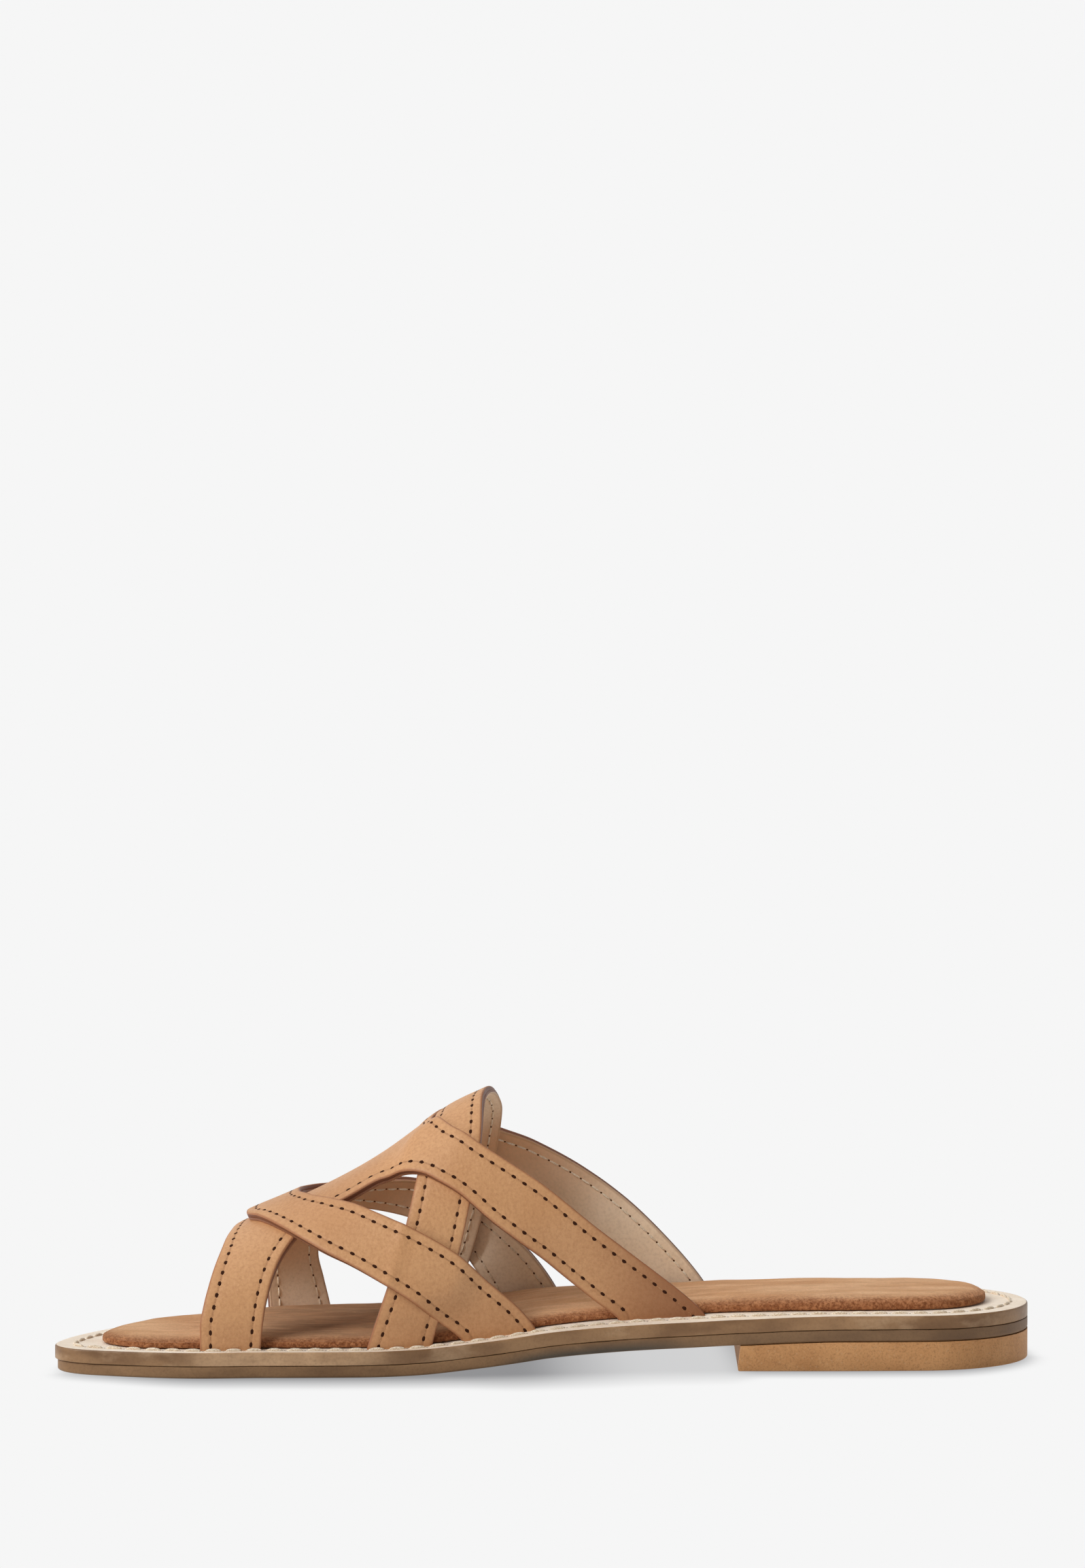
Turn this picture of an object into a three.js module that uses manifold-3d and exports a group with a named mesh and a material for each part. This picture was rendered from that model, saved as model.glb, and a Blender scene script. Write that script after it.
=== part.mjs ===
// A flat leather slide sandal for the right foot, in millimetres: toe towards -X, heel towards +X,
// inner side of the foot towards -Y, ground at z = 0, origin under the middle of the sole.
// Two flat soles and a low heel block carry a padded footbed. The upper is one piece of
// crossing leather straps, whose ends go down into slots in the leather board.
import * as THREE from 'three';
import { mergeVertices } from 'three/addons/utils/BufferGeometryUtils.js';
import Module from 'manifold-3d';

const wasm = await Module();
wasm.setup();

// Driving sizes
const length = 258;
const ballWidth = 85;
const heelWidth = 62;
const outsoleThickness = 3.0;
const boardThickness = 3.5;
const heelLift = 7.7;
const toeSpring = 0.5;
const archCrown = 1.0;
const footbedThickness = 4.0;
const footbedRoundOver = 7;
const rimWidth = 10;
const toeRim = 12.3;
const heelRim = 11.2;
const instepHeight = 61.8;
const ridgeShift = 5;
const strapThickness = 2.2;
const strapBond = 0.15;
const slotDepth = 2.0;
const edgeBevel = 0.8;
const soleEdgeRound = 0.7;
const outsoleToeRound = 2.4;
const outsoleToeInset = 0.7;
const outsoleToeLength = 40;
const clearance = 0.3;

const boardBottom = outsoleThickness + clearance;
const boardTop = boardBottom + boardThickness;
const heelBreastInner = 0.694;
const heelBreastOuter = 0.702;
const heelBreastInnerLean = -0.0024;
const heelBreastOuterLean = 0.0043;
const toeRoundShare = 0.333;
const toePower = 0.57;
const footbedToeRoundShare = 0.055;
const footbedToePower = 0.40;
const archPower = 0.85;
// The middle of the shoe's width, to the outer side of the heel's middle, as a share of the ball width.
const originShare = 0.0796;

// Counts of cells
const stations = 40;
const cellsAcross = 4;
const armColumns = 15;
const crownColumns = 12;

// The sole's sections. along: share of the length from the toe. centre: how far the middle lies
// to the outer side of the heel's, as a share of the ball width. width: 1 at the ball, 0 at the heel.
const soleSections = [
  { along: 0.00, centre: -0.235, width: 1.00 },
  { along: 0.02, centre: -0.185, width: 1.00 },
  { along: 0.05, centre: -0.120, width: 1.00 },
  { along: 0.08, centre: -0.080, width: 1.00 },
  { along: 0.14, centre: -0.021, width: 1.00 },
  { along: 0.22, centre: 0.050, width: 1.00 },
  { along: 0.33, centre: 0.080, width: 1.00 },
  { along: 0.42, centre: 0.085, width: 0.90 },
  { along: 0.50, centre: 0.079, width: 0.63 },
  { along: 0.58, centre: 0.066, width: 0.35 },
  { along: 0.66, centre: 0.046, width: 0.15 },
  { along: 0.74, centre: 0.020, width: 0.05 },
  { along: 0.82, centre: 0.004, width: 0.00 },
  { along: 1.00, centre: 0.000, width: 0.00 },
];

// How far the sole's underside leaves the ground. toe: share of the toe spring.
// heel: share of the heel's lift. crown: share of the arch's crown across the sole.
const soleRise = [
  { along: 0.00, toe: 1.0, heel: 0.00, crown: 0.0 },
  { along: 0.05, toe: 0.2, heel: 0.00, crown: 0.0 },
  { along: 0.12, toe: 0.0, heel: 0.00, crown: 0.0 },
  { along: 0.31, toe: 0.0, heel: 0.00, crown: 0.0 },
  { along: 0.36, toe: 0.0, heel: 0.065, crown: 0.2 },
  { along: 0.43, toe: 0.0, heel: 0.31, crown: 0.5 },
  { along: 0.47, toe: 0.0, heel: 0.49, crown: 0.7 },
  { along: 0.50, toe: 0.0, heel: 0.63, crown: 0.8 },
  { along: 0.57, toe: 0.0, heel: 0.82, crown: 1.0 },
  { along: 0.64, toe: 0.0, heel: 0.92, crown: 1.0 },
  { along: 0.70, toe: 0.0, heel: 0.99, crown: 0.8 },
  { along: 0.75, toe: 0.0, heel: 1.00, crown: 0.3 },
  { along: 0.80, toe: 0.0, heel: 1.00, crown: 0.0 },
  { along: 1.00, toe: 0.0, heel: 1.00, crown: 0.0 },
];

// innerRim, outerRim: the strips of board that show beside the footbed, as shares of the
// rim's width. pillow: the footbed's thickness, as a share of the heel's.
const footbedSections = [
  { along: 0.00, innerRim: 0.38, outerRim: 1.05, pillow: 0.75 },
  { along: 0.05, innerRim: 0.42, outerRim: 1.05, pillow: 0.75 },
  { along: 0.14, innerRim: 0.63, outerRim: 0.95, pillow: 0.75 },
  { along: 0.22, innerRim: 0.63, outerRim: 0.83, pillow: 0.75 },
  { along: 0.33, innerRim: 0.63, outerRim: 0.80, pillow: 0.75 },
  { along: 0.42, innerRim: 0.80, outerRim: 0.87, pillow: 0.75 },
  { along: 0.55, innerRim: 1.00, outerRim: 1.00, pillow: 0.75 },
  { along: 0.70, innerRim: 1.04, outerRim: 1.04, pillow: 0.90 },
  { along: 0.80, innerRim: 0.93, outerRim: 0.93, pillow: 1.00 },
  { along: 0.90, innerRim: 1.00, outerRim: 1.00, pillow: 1.00 },
  { along: 1.00, innerRim: 1.00, outerRim: 1.00, pillow: 1.00 },
];

// The ridge of the last over the board, as a share of the instep's height.
const lastSections = [
  { along: 0.07, ridge: 0.19 },
  { along: 0.15, ridge: 0.354 },
  { along: 0.19, ridge: 0.441 },
  { along: 0.25, ridge: 0.543 },
  { along: 0.29, ridge: 0.620 },
  { along: 0.34, ridge: 0.734 },
  { along: 0.39, ridge: 0.870 },
  { along: 0.41, ridge: 0.918 },
  { along: 0.45, ridge: 0.978 },
  { along: 0.50, ridge: 1.06 },
  { along: 0.58, ridge: 1.13 },
  { along: 0.73, ridge: 1.19 },
];

// The straps' edges on the last. round: -1 at the inner side of the foot, 0 on the ridge,
// 1 at the outer side. fore and aft: the edges, as shares of the length from the toe.
const frontArmSections = [
  { round: -1.00, fore: 0.147, aft: 0.208 },
  { round: -0.87, fore: 0.147, aft: 0.211 },
  { round: -0.72, fore: 0.151, aft: 0.217 },
  { round: -0.57, fore: 0.157, aft: 0.227 },
  { round: -0.46, fore: 0.162, aft: 0.239 },
  { round: -0.36, fore: 0.167, aft: 0.256 },
  { round: -0.28, fore: 0.171, aft: 0.276 },
  { round: -0.11, fore: 0.178, aft: 0.281 },
  { round: 0.11, fore: 0.189, aft: 0.284 },
  { round: 0.28, fore: 0.199, aft: 0.288 },
  { round: 0.36, fore: 0.203, aft: 0.281 },
  { round: 0.50, fore: 0.210, aft: 0.273 },
  { round: 0.73, fore: 0.217, aft: 0.271 },
  { round: 0.87, fore: 0.219, aft: 0.277 },
  { round: 1.00, fore: 0.221, aft: 0.285 },
];
const rearArmSections = [
  { round: -1.00, fore: 0.572, aft: 0.661 },
  { round: -0.97, fore: 0.549, aft: 0.641 },
  { round: -0.92, fore: 0.521, aft: 0.609 },
  { round: -0.86, fore: 0.494, aft: 0.575 },
  { round: -0.79, fore: 0.466, aft: 0.541 },
  { round: -0.70, fore: 0.437, aft: 0.507 },
  { round: -0.60, fore: 0.413, aft: 0.476 },
  { round: -0.50, fore: 0.391, aft: 0.450 },
  { round: -0.42, fore: 0.375, aft: 0.432 },
  { round: -0.35, fore: 0.355, aft: 0.420 },
  { round: -0.28, fore: 0.324, aft: 0.409 },
  { round: -0.15, fore: 0.326, aft: 0.399 },
  { round: 0.00, fore: 0.328, aft: 0.391 },
  { round: 0.13, fore: 0.330, aft: 0.392 },
  { round: 0.28, fore: 0.332, aft: 0.413 },
  { round: 0.35, fore: 0.358, aft: 0.427 },
  { round: 0.48, fore: 0.397, aft: 0.455 },
  { round: 0.60, fore: 0.432, aft: 0.496 },
  { round: 0.72, fore: 0.470, aft: 0.549 },
  { round: 0.83, fore: 0.512, aft: 0.602 },
  { round: 0.95, fore: 0.570, aft: 0.656 },
  { round: 1.00, fore: 0.602, aft: 0.678 },
];
const frontHoopSections = [
  { round: -1.00, fore: 0.411, aft: 0.486 },
  { round: -0.95, fore: 0.385, aft: 0.466 },
  { round: -0.88, fore: 0.359, aft: 0.438 },
  { round: -0.80, fore: 0.332, aft: 0.412 },
  { round: -0.70, fore: 0.302, aft: 0.381 },
  { round: -0.60, fore: 0.275, aft: 0.354 },
  { round: -0.50, fore: 0.255, aft: 0.330 },
  { round: -0.40, fore: 0.239, aft: 0.309 },
  { round: -0.30, fore: 0.226, aft: 0.288 },
  { round: -0.16, fore: 0.212, aft: 0.266 },
  { round: 0.00, fore: 0.201, aft: 0.256 },
  { round: 0.14, fore: 0.204, aft: 0.260 },
  { round: 0.30, fore: 0.226, aft: 0.282 },
  { round: 0.57, fore: 0.313, aft: 0.374 },
  { round: 0.70, fore: 0.361, aft: 0.418 },
  { round: 0.79, fore: 0.395, aft: 0.449 },
  { round: 0.90, fore: 0.4275, aft: 0.489 },
  { round: 1.00, fore: 0.455, aft: 0.523 },
];
const rearHoopSections = [
  { round: -1.00, fore: 0.315, aft: 0.380 },
  { round: -0.94, fore: 0.322, aft: 0.388 },
  { round: -0.80, fore: 0.337, aft: 0.406 },
  { round: -0.62, fore: 0.354, aft: 0.421 },
  { round: -0.41, fore: 0.369, aft: 0.433 },
  { round: -0.05, fore: 0.391, aft: 0.441 },
  { round: 0.20, fore: 0.400, aft: 0.455 },
  { round: 0.37, fore: 0.402, aft: 0.462 },
  { round: 0.60, fore: 0.393, aft: 0.456 },
  { round: 0.79, fore: 0.376, aft: 0.442 },
  { round: 0.90, fore: 0.362, aft: 0.430 },
  { round: 1.00, fore: 0.345, aft: 0.410 },
];
const notchEnd = 0.28;

// Numbers

const clamp01 = (value) => Math.min(1, Math.max(0, value));

function ramp(from, to, value) {
  const t = clamp01((value - from) / (to - from));
  return t * t * (3 - 2 * t);
}

// A smooth curve through a table's rows that never swings past them.
function track(rows, key, column) {
  const at = rows.map((row) => row[key]);
  const values = rows.map((row) => row[column]);
  const last = rows.length - 1;
  const slopes = values.slice(1).map((value, i) => (value - values[i]) / (at[i + 1] - at[i]));
  const tangents = values.map((_, i) => {
    if (i === 0) return slopes[0];
    if (i === last) return slopes[last - 1];
    const before = slopes[i - 1];
    const after = slopes[i];
    if (before * after <= 0) return 0;
    const wide = at[i + 1] - at[i];
    const narrow = at[i] - at[i - 1];
    const weightBefore = 2 * wide + narrow;
    const weightAfter = wide + 2 * narrow;
    return (weightBefore + weightAfter) / (weightBefore / before + weightAfter / after);
  });
  return (where) => {
    const x = Math.min(at[last], Math.max(at[0], where));
    let i = 0;
    while (i < last - 1 && x > at[i + 1]) i += 1;
    const span = at[i + 1] - at[i];
    const t = (x - at[i]) / span;
    const back = 1 - t;
    return (1 + 2 * t) * back * back * values[i] + t * back * back * span * tangents[i]
      + t * t * (3 - 2 * t) * values[i + 1] - t * t * back * span * tangents[i + 1];
  };
}

// Bodies from faces

class Body {
  constructor() {
    this.positions = [];
  }

  triangle(a, b, c) {
    const same = (p, q) => Math.hypot(p[0] - q[0], p[1] - q[1], p[2] - q[2]) < 1e-6;
    if (same(a, b) || same(b, c) || same(c, a)) return;
    this.positions.push(...a, ...b, ...c);
  }

  quad(a, b, c, d) {
    this.triangle(a, b, c);
    this.triangle(a, c, d);
  }

  solid() {
    const geometry = new THREE.BufferGeometry();
    geometry.setAttribute('position', new THREE.Float32BufferAttribute(this.positions, 3));
    const merged = mergeVertices(geometry, 1e-4);
    return new wasm.Manifold(new wasm.Mesh({
      numProp: 3,
      vertProperties: new Float32Array(merged.attributes.position.array),
      triVerts: new Uint32Array(merged.index.array),
    }));
  }
}

function geometryOf(solid) {
  const mesh = solid.getMesh();
  const geometry = new THREE.BufferGeometry();
  geometry.setAttribute('position', new THREE.Float32BufferAttribute(mesh.vertProperties, 3));
  geometry.setIndex(new THREE.Uint32BufferAttribute(mesh.triVerts, 1));
  return geometry;
}

// The sole's outline

const centreTrack = track(soleSections, 'along', 'centre');
const widthTrack = track(soleSections, 'along', 'width');
const toeRiseTrack = track(soleRise, 'along', 'toe');
const heelRiseTrack = track(soleRise, 'along', 'heel');
const crownTrack = track(soleRise, 'along', 'crown');
const innerRimTrack = track(footbedSections, 'along', 'innerRim');
const outerRimTrack = track(footbedSections, 'along', 'outerRim');
const pillowTrack = track(footbedSections, 'along', 'pillow');
const ridgeTrack = track(lastSections, 'along', 'ridge');

const xAt = (along) => (along - 0.5) * length;
const alongAt = (x) => x / length + 0.5;
const centreAt = (along) => (centreTrack(along) - originShare) * ballWidth;

// How far a round end has opened, from 0 at its tip to 1, at a share of its length.
const roundEnd = (share, power) => (1 - (1 - clamp01(share)) ** 2) ** power;

function halfWidthAt(along) {
  const width = heelWidth + (ballWidth - heelWidth) * widthTrack(along);
  const heelRoundShare = heelWidth / 2 / length;
  return 0.5 * width * roundEnd(along / toeRoundShare, toePower)
    * roundEnd((1 - along) / heelRoundShare, 0.5);
}

const alongAtAngle = (angle) => (1 - Math.cos(angle)) / 2;

// A point of the sole's edge, side -1 or 1, at an angle that is 0 at the toe and pi at the
// heel, moved in from the edge.
function solePoint(angle, side, inset) {
  const point = (a) => {
    const along = alongAtAngle(a);
    return [xAt(along), centreAt(along) + side * halfWidthAt(along)];
  };
  const step = 1e-3;
  const [x, y] = point(angle);
  const before = point(Math.max(0, angle - step));
  const after = point(Math.min(Math.PI, angle + step));
  const run = Math.hypot(after[0] - before[0], after[1] - before[1]);
  const depth = inset(alongAtAngle(angle));
  return [
    x + side * depth * (after[1] - before[1]) / run,
    y - side * depth * (after[0] - before[0]) / run,
  ];
}

// The footbed's edge at a place along the foot, moved in from the edge. The margins from
// the sole's edges are the rims, and the ends are round.
function footbedEdge(along, side, inward) {
  const toe = (toeRim + inward) / length;
  const heel = 1 - (heelRim + inward) / length;
  const innerMargin = rimWidth * innerRimTrack(along) + inward;
  const outerMargin = rimWidth * outerRimTrack(along) + inward;
  const middle = centreAt(along) + (innerMargin - outerMargin) / 2;
  const margin = (innerMargin + outerMargin) / 2;
  const heelRoundShare = (heelWidth / 2 - rimWidth - inward) / length;
  const atHeel = along > 1 - heelWidth / 2 / length;
  const half = atHeel
    ? (heelWidth / 2 - margin) * roundEnd((heel - along) / heelRoundShare, 0.5)
    : (halfWidthAt(along) - margin)
      * roundEnd((along - toe) / footbedToeRoundShare, footbedToePower);
  return middle + side * Math.max(0, half);
}

function footbedPoint(angle, side, inward) {
  const toe = (toeRim + inward) / length;
  const heel = 1 - (heelRim + inward) / length;
  const along = toe + (heel - toe) * alongAtAngle(angle);
  return [xAt(along), footbedEdge(along, side, inward)];
}

const soleHalfAt = (along) => Math.max(halfWidthAt(along), heelWidth / 4);

// The height of the sole's underside over the ground.
function seat(x, y) {
  const along = alongAt(x);
  const across = clamp01(Math.abs(y - centreAt(along)) / soleHalfAt(along));
  return toeSpring * toeRiseTrack(along) + heelLift * heelRiseTrack(along)
    - archCrown * crownTrack(along) * across * across;
}

// A sheet of the sole: rows from toe to heel, each from the inner to the outer edge.
// edgePoint gives a point of its edge from an angle and a side.
function sheet(edgePoint, height, startAngles = [0, 0]) {
  const rows = [];
  for (let i = 0; i <= stations; i += 1) {
    const [innerAngle, outerAngle] = startAngles
      .map((start) => start + (Math.PI - start) * i / stations);
    let inner = edgePoint(innerAngle, -1);
    let outer = edgePoint(outerAngle, 1);
    if (innerAngle === 0 || i === stations) {
      inner = [(inner[0] + outer[0]) / 2, (inner[1] + outer[1]) / 2];
      outer = inner;
    }
    const row = [];
    for (let j = 0; j <= cellsAcross; j += 1) {
      const t = j / cellsAcross;
      const x = inner[0] + (outer[0] - inner[0]) * t;
      const y = inner[1] + (outer[1] - inner[1]) * t;
      row.push([x, y, height(x, y)]);
    }
    rows.push(row);
  }
  return rows;
}

// The rim of a sheet, once round.
function border(rows) {
  const last = rows.length - 1;
  const end = rows[0].length - 1;
  return [
    ...rows.map((row) => row[0]),
    ...rows[last].slice(1, end),
    ...rows.map((row) => row[end]).reverse(),
    ...rows[0].slice(1, end).reverse(),
  ];
}

// A closed body between the first sheet, its underside, and the last, its top.
function slab(sheets) {
  const body = new Body();
  const cap = (rows, up) => {
    for (let i = 0; i + 1 < rows.length; i += 1) {
      for (let j = 0; j + 1 < rows[i].length; j += 1) {
        const corners = [rows[i][j], rows[i + 1][j], rows[i + 1][j + 1], rows[i][j + 1]];
        body.quad(...(up ? corners : corners.reverse()));
      }
    }
  };
  cap(sheets[0], false);
  cap(sheets[sheets.length - 1], true);
  for (let level = 0; level + 1 < sheets.length; level += 1) {
    const low = border(sheets[level]);
    const high = border(sheets[level + 1]);
    low.forEach((point, i) => {
      const next = (i + 1) % low.length;
      body.quad(point, low[next], high[next], high[i]);
    });
  }
  return body.solid();
}

const over = (lift) => (x, y) => seat(x, y) + lift;

// The last

// A point of the last's surface. Past the board, it goes straight down.
function lastPoint(along, round) {
  const x = xAt(along);
  const side = round < 0 ? -1 : 1;
  const ridgeY = centreAt(along) - ridgeShift;
  const baseY = footbedEdge(along, side, 0) + side * clearance;
  const baseZ = seat(x, baseY) + boardTop;
  const ridgeZ = seat(x, centreAt(along)) + boardTop + instepHeight * ridgeTrack(along);
  const reach = Math.abs(round);
  const rise = (1 - Math.min(1, reach)) * Math.PI / 2;
  const y = ridgeY + (baseY - ridgeY) * Math.cos(rise) ** archPower;
  const z = baseZ + (ridgeZ - baseZ) * Math.sin(rise) ** archPower;
  return new THREE.Vector3(x, y, z - Math.max(0, reach - 1) * instepHeight);
}

function lastNormal(along, round) {
  const held = Math.max(-0.999, Math.min(0.999, round));
  const step = 0.001;
  const across = lastPoint(along, held + step).sub(lastPoint(along, held - step));
  const ahead = lastPoint(along + step, held).sub(lastPoint(along - step, held));
  return ahead.cross(across).normalize();
}

// The upper

const strapLayer = strapThickness - strapBond;
const buried = (slotDepth - clearance) / instepHeight;

// The heights, in strap layers, that one strap climbs to pass over another.
const onLast = () => 0;
const rearArmLayer = (along, round) => ramp(-0.040, -0.006, along - rearHoop.fore(round))
  * ramp(0.06, 0.24, Math.abs(round - 0.05)) * (1 - ramp(0.74, 0.92, Math.abs(round)));
const frontHoopLayer = (along, round) => (1 - ramp(-0.002, 0.043, along - rearHoop.aft(round)))
  * (1 - ramp(0.87, 0.96, Math.abs(round)));

// Columns round the last, from one place to another, both kept.
function columns(from, to, count) {
  return Array.from({ length: count + 1 }, (_, i) => from + (to - from) * i / count);
}

// A strip of leather: its columns, and its edges as shares of the length at each column.
const strip = (rounds, fore, aft, cells) => ({ rounds, fore, aft, cells });

// Leather of one thickness on the last. Strips that share points are one sheet, and the
// cut edges run round what is left.
function leather(strips, layer, grow = 0) {
  const body = new Body();
  const corners = new Map();
  const cutEdges = new Map();
  const corner = (round, along) => {
    const name = `${round.toFixed(6)} ${along.toFixed(6)}`;
    if (!corners.has(name)) {
      const lift = strapLayer * layer(along, round);
      const base = lastPoint(along, round);
      const normal = lastNormal(along, round);
      corners.set(name, {
        inside: base.clone().addScaledVector(normal, lift - grow).toArray(),
        outside: base.clone().addScaledVector(normal, lift + strapThickness + grow).toArray(),
      });
    }
    return name;
  };
  const face = (names) => {
    const points = names.map((name) => corners.get(name));
    body.quad(...points.map((point) => point.outside));
    body.quad(...points.map((point) => point.inside).reverse());
    names.forEach((name, i) => {
      const next = names[(i + 1) % names.length];
      if (!cutEdges.delete(`${next}|${name}`)) cutEdges.set(`${name}|${next}`, [name, next]);
    });
  };
  strips.forEach(({ rounds, fore, aft, cells }) => {
    const rows = rounds.map((round) => columns(fore(round), aft(round), cells)
      .map((along) => corner(round, along)));
    for (let c = 0; c + 1 < rows.length; c += 1) {
      for (let i = 0; i < cells; i += 1) {
        face([rows[c][i], rows[c][i + 1], rows[c + 1][i + 1], rows[c + 1][i]]);
      }
    }
  });
  cutEdges.forEach(([name, next]) => {
    const a = corners.get(name);
    const b = corners.get(next);
    body.quad(b.outside, a.outside, a.inside, b.inside);
  });
  return body.solid();
}

const edges = (rows) => ({ fore: track(rows, 'round', 'fore'), aft: track(rows, 'round', 'aft') });
const frontArm = edges(frontArmSections);
const rearArm = edges(rearArmSections);
const frontHoop = edges(frontHoopSections);
const rearHoop = edges(rearHoopSections);

const baseEnd = 1 + buried;
const innerArm = [-baseEnd, ...columns(-1, -notchEnd, armColumns)];
const crown = columns(-notchEnd, notchEnd, crownColumns);
const outerArm = [...columns(notchEnd, 1, armColumns), baseEnd];
const allRound = [...innerArm, ...crown.slice(1, -1), ...outerArm];

// The crossed piece: two front arms and two rear arms, cut in one with the panel on the ridge.
const crossedPiece = leather([
  strip(allRound, frontArm.fore, frontArm.aft, 3),
  strip(allRound, rearArm.fore, rearArm.aft, 4),
  strip(crown, frontArm.aft, rearArm.fore, 3),
], rearArmLayer);
const rearStrap = leather([strip(allRound, rearHoop.fore, rearHoop.aft, 3)], onLast);
const frontStrap = leather([strip(allRound, frontHoop.fore, frontHoop.aft, 4)], frontHoopLayer);
const upper = crossedPiece.add(rearStrap).add(frontStrap);

// The room that a strap's end takes in the board, on one side.
function slot({ fore, aft }, side) {
  const margin = clearance / length;
  const deep = 1 + slotDepth / instepHeight;
  const shallow = 1 - slotDepth / instepHeight;
  const rounds = side < 0 ? [-deep, -1, -shallow] : [shallow, 1, deep];
  const widened = strip(rounds, (round) => fore(round) - margin, (round) => aft(round) + margin, 3);
  return leather([widened], onLast, clearance);
}

// The soles

const soleEdge = (inset) => (angle, side) => solePoint(angle, side, () => inset);

// The outsole's toe lies a little behind the board's, and is rounded off underneath.
const nearToe = (along) => 1 - ramp(0, outsoleToeLength / length, along);
const outsoleEdge = (rounding) => (angle, side) => solePoint(angle, side, (along) => {
  const inset = outsoleToeInset + rounding * (outsoleToeRound - outsoleToeInset);
  return rounding * soleEdgeRound * (1 - nearToe(along)) + inset * nearToe(along);
});
const outsole = slab([
  sheet(outsoleEdge(1), over(0)),
  sheet(outsoleEdge(0.3), over(0.3 * soleEdgeRound)),
  sheet(outsoleEdge(0), over(soleEdgeRound)),
  sheet(outsoleEdge(0), over(outsoleThickness)),
]);

const slots = [frontArm, rearArm, frontHoop, rearHoop].flatMap((hoop) => [slot(hoop, -1), slot(hoop, 1)]);
const board = slots.reduce((solid, cut) => solid.subtract(cut), slab([
  sheet(soleEdge(0), over(boardBottom)),
  sheet(soleEdge(0), over(boardTop - edgeBevel)),
  sheet(soleEdge(edgeBevel), over(boardTop)),
]));

// The heel block's front face runs a little askew, and leans back towards the ground.
const angleAtAlong = (along) => Math.acos(1 - 2 * along);
const heelSheet = (inset, height, share) => sheet(
  soleEdge(inset),
  height,
  [
    angleAtAlong(heelBreastInner + share * heelBreastInnerLean),
    angleAtAlong(heelBreastOuter + share * heelBreastOuterLean),
  ],
);
const heelBlock = slab([
  heelSheet(soleEdgeRound, () => 0, 1),
  heelSheet(0, () => soleEdgeRound, 1),
  heelSheet(0, over(-clearance), 0),
]);

// The footbed's pillow, from its foot to its top: shares of how far its round edge reaches
// inward and of its thickness.
const pillowSteps = [
  { inward: 0.00, height: 0.00 },
  { inward: 0.00, height: 0.40 },
  { inward: 0.12, height: 0.72 },
  { inward: 0.42, height: 0.93 },
  { inward: 1.00, height: 1.00 },
];
const footbed = slab(pillowSteps.map(({ inward, height }) => sheet(
  (angle, side) => footbedPoint(angle, side, inward * footbedRoundOver),
  (x, y) => seat(x, y) + boardTop + clearance
    + height * footbedThickness * pillowTrack(alongAt(x)),
)));

// The object

const finish = (color, roughness) => new THREE.MeshStandardMaterial({ color, roughness, metalness: 0 });
const strapLeather = finish(0xcda078, 0.55);
const boardLeather = finish(0xd7bea0, 0.6);
const soleRubber = finish(0x735c42, 0.75);
const heelStack = finish(0xa5784b, 0.7);
const suede = finish(0xa56e46, 0.95);

const sandal = new THREE.Group();
const place = (name, solid, material) => {
  const mesh = new THREE.Mesh(geometryOf(solid), material);
  mesh.name = name;
  sandal.add(mesh);
};
place('outsole', outsole, soleRubber);
place('midsole', board, boardLeather);
place('heel', heelBlock, heelStack);
place('footbed', footbed, suede);
place('upper', upper, strapLeather);

export default sandal;
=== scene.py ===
# %% [markdown]
# # A flat leather slide sandal
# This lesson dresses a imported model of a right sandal: thin soles, a low heel block, a suede
# footbed and an upper of crossing straps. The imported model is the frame: it says where
# everything is, in metres, toe towards -X and the inner side of the foot towards -Y.
# Each solid of the frame is replaced by a finer mesh of the same form, made from the same
# sizes, so that edges can be round, sewing can sink in and leather can have grain.

# %% Open the frame
import math

import bpy
import numpy as np
from mathutils import Matrix, Vector, noise
from mathutils.geometry import delaunay_2d_cdt


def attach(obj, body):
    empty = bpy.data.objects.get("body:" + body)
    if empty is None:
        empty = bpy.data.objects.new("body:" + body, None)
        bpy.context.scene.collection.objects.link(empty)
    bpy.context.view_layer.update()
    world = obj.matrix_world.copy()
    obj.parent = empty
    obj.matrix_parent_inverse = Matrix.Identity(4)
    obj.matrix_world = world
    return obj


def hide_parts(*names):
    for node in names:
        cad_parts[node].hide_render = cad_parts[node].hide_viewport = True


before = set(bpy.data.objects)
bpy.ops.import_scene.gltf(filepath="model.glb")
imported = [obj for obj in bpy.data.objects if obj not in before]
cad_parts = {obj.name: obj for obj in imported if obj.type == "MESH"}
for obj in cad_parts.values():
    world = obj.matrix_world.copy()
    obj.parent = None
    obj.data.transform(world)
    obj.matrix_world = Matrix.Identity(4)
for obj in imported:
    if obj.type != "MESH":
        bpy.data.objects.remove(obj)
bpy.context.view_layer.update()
print("frame:", sorted(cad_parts))

# %% [markdown]
# ## The camera
# The photograph looks at the inner side of the shoe from a little above and far away, so the
# shoe is nearly drawn in side view. A long lens gives that. The shoe sits low in a tall
# picture, and the camera is simply pitched up a little for it, with no shift.

# %% Aim the camera
MM = 0.001
picture_width, picture_height = 1596, 2306
sensor = 36.0
camera_distance = 1.7
camera_azimuth = math.radians(-3.0)
camera_elevation = math.radians(8.2)
pixels_per_mm = 5.522
aim = Vector((0.0, -0.0098, 0.0))
aim_pixel_x, aim_pixel_y = 800.5, 1998.0


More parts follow.
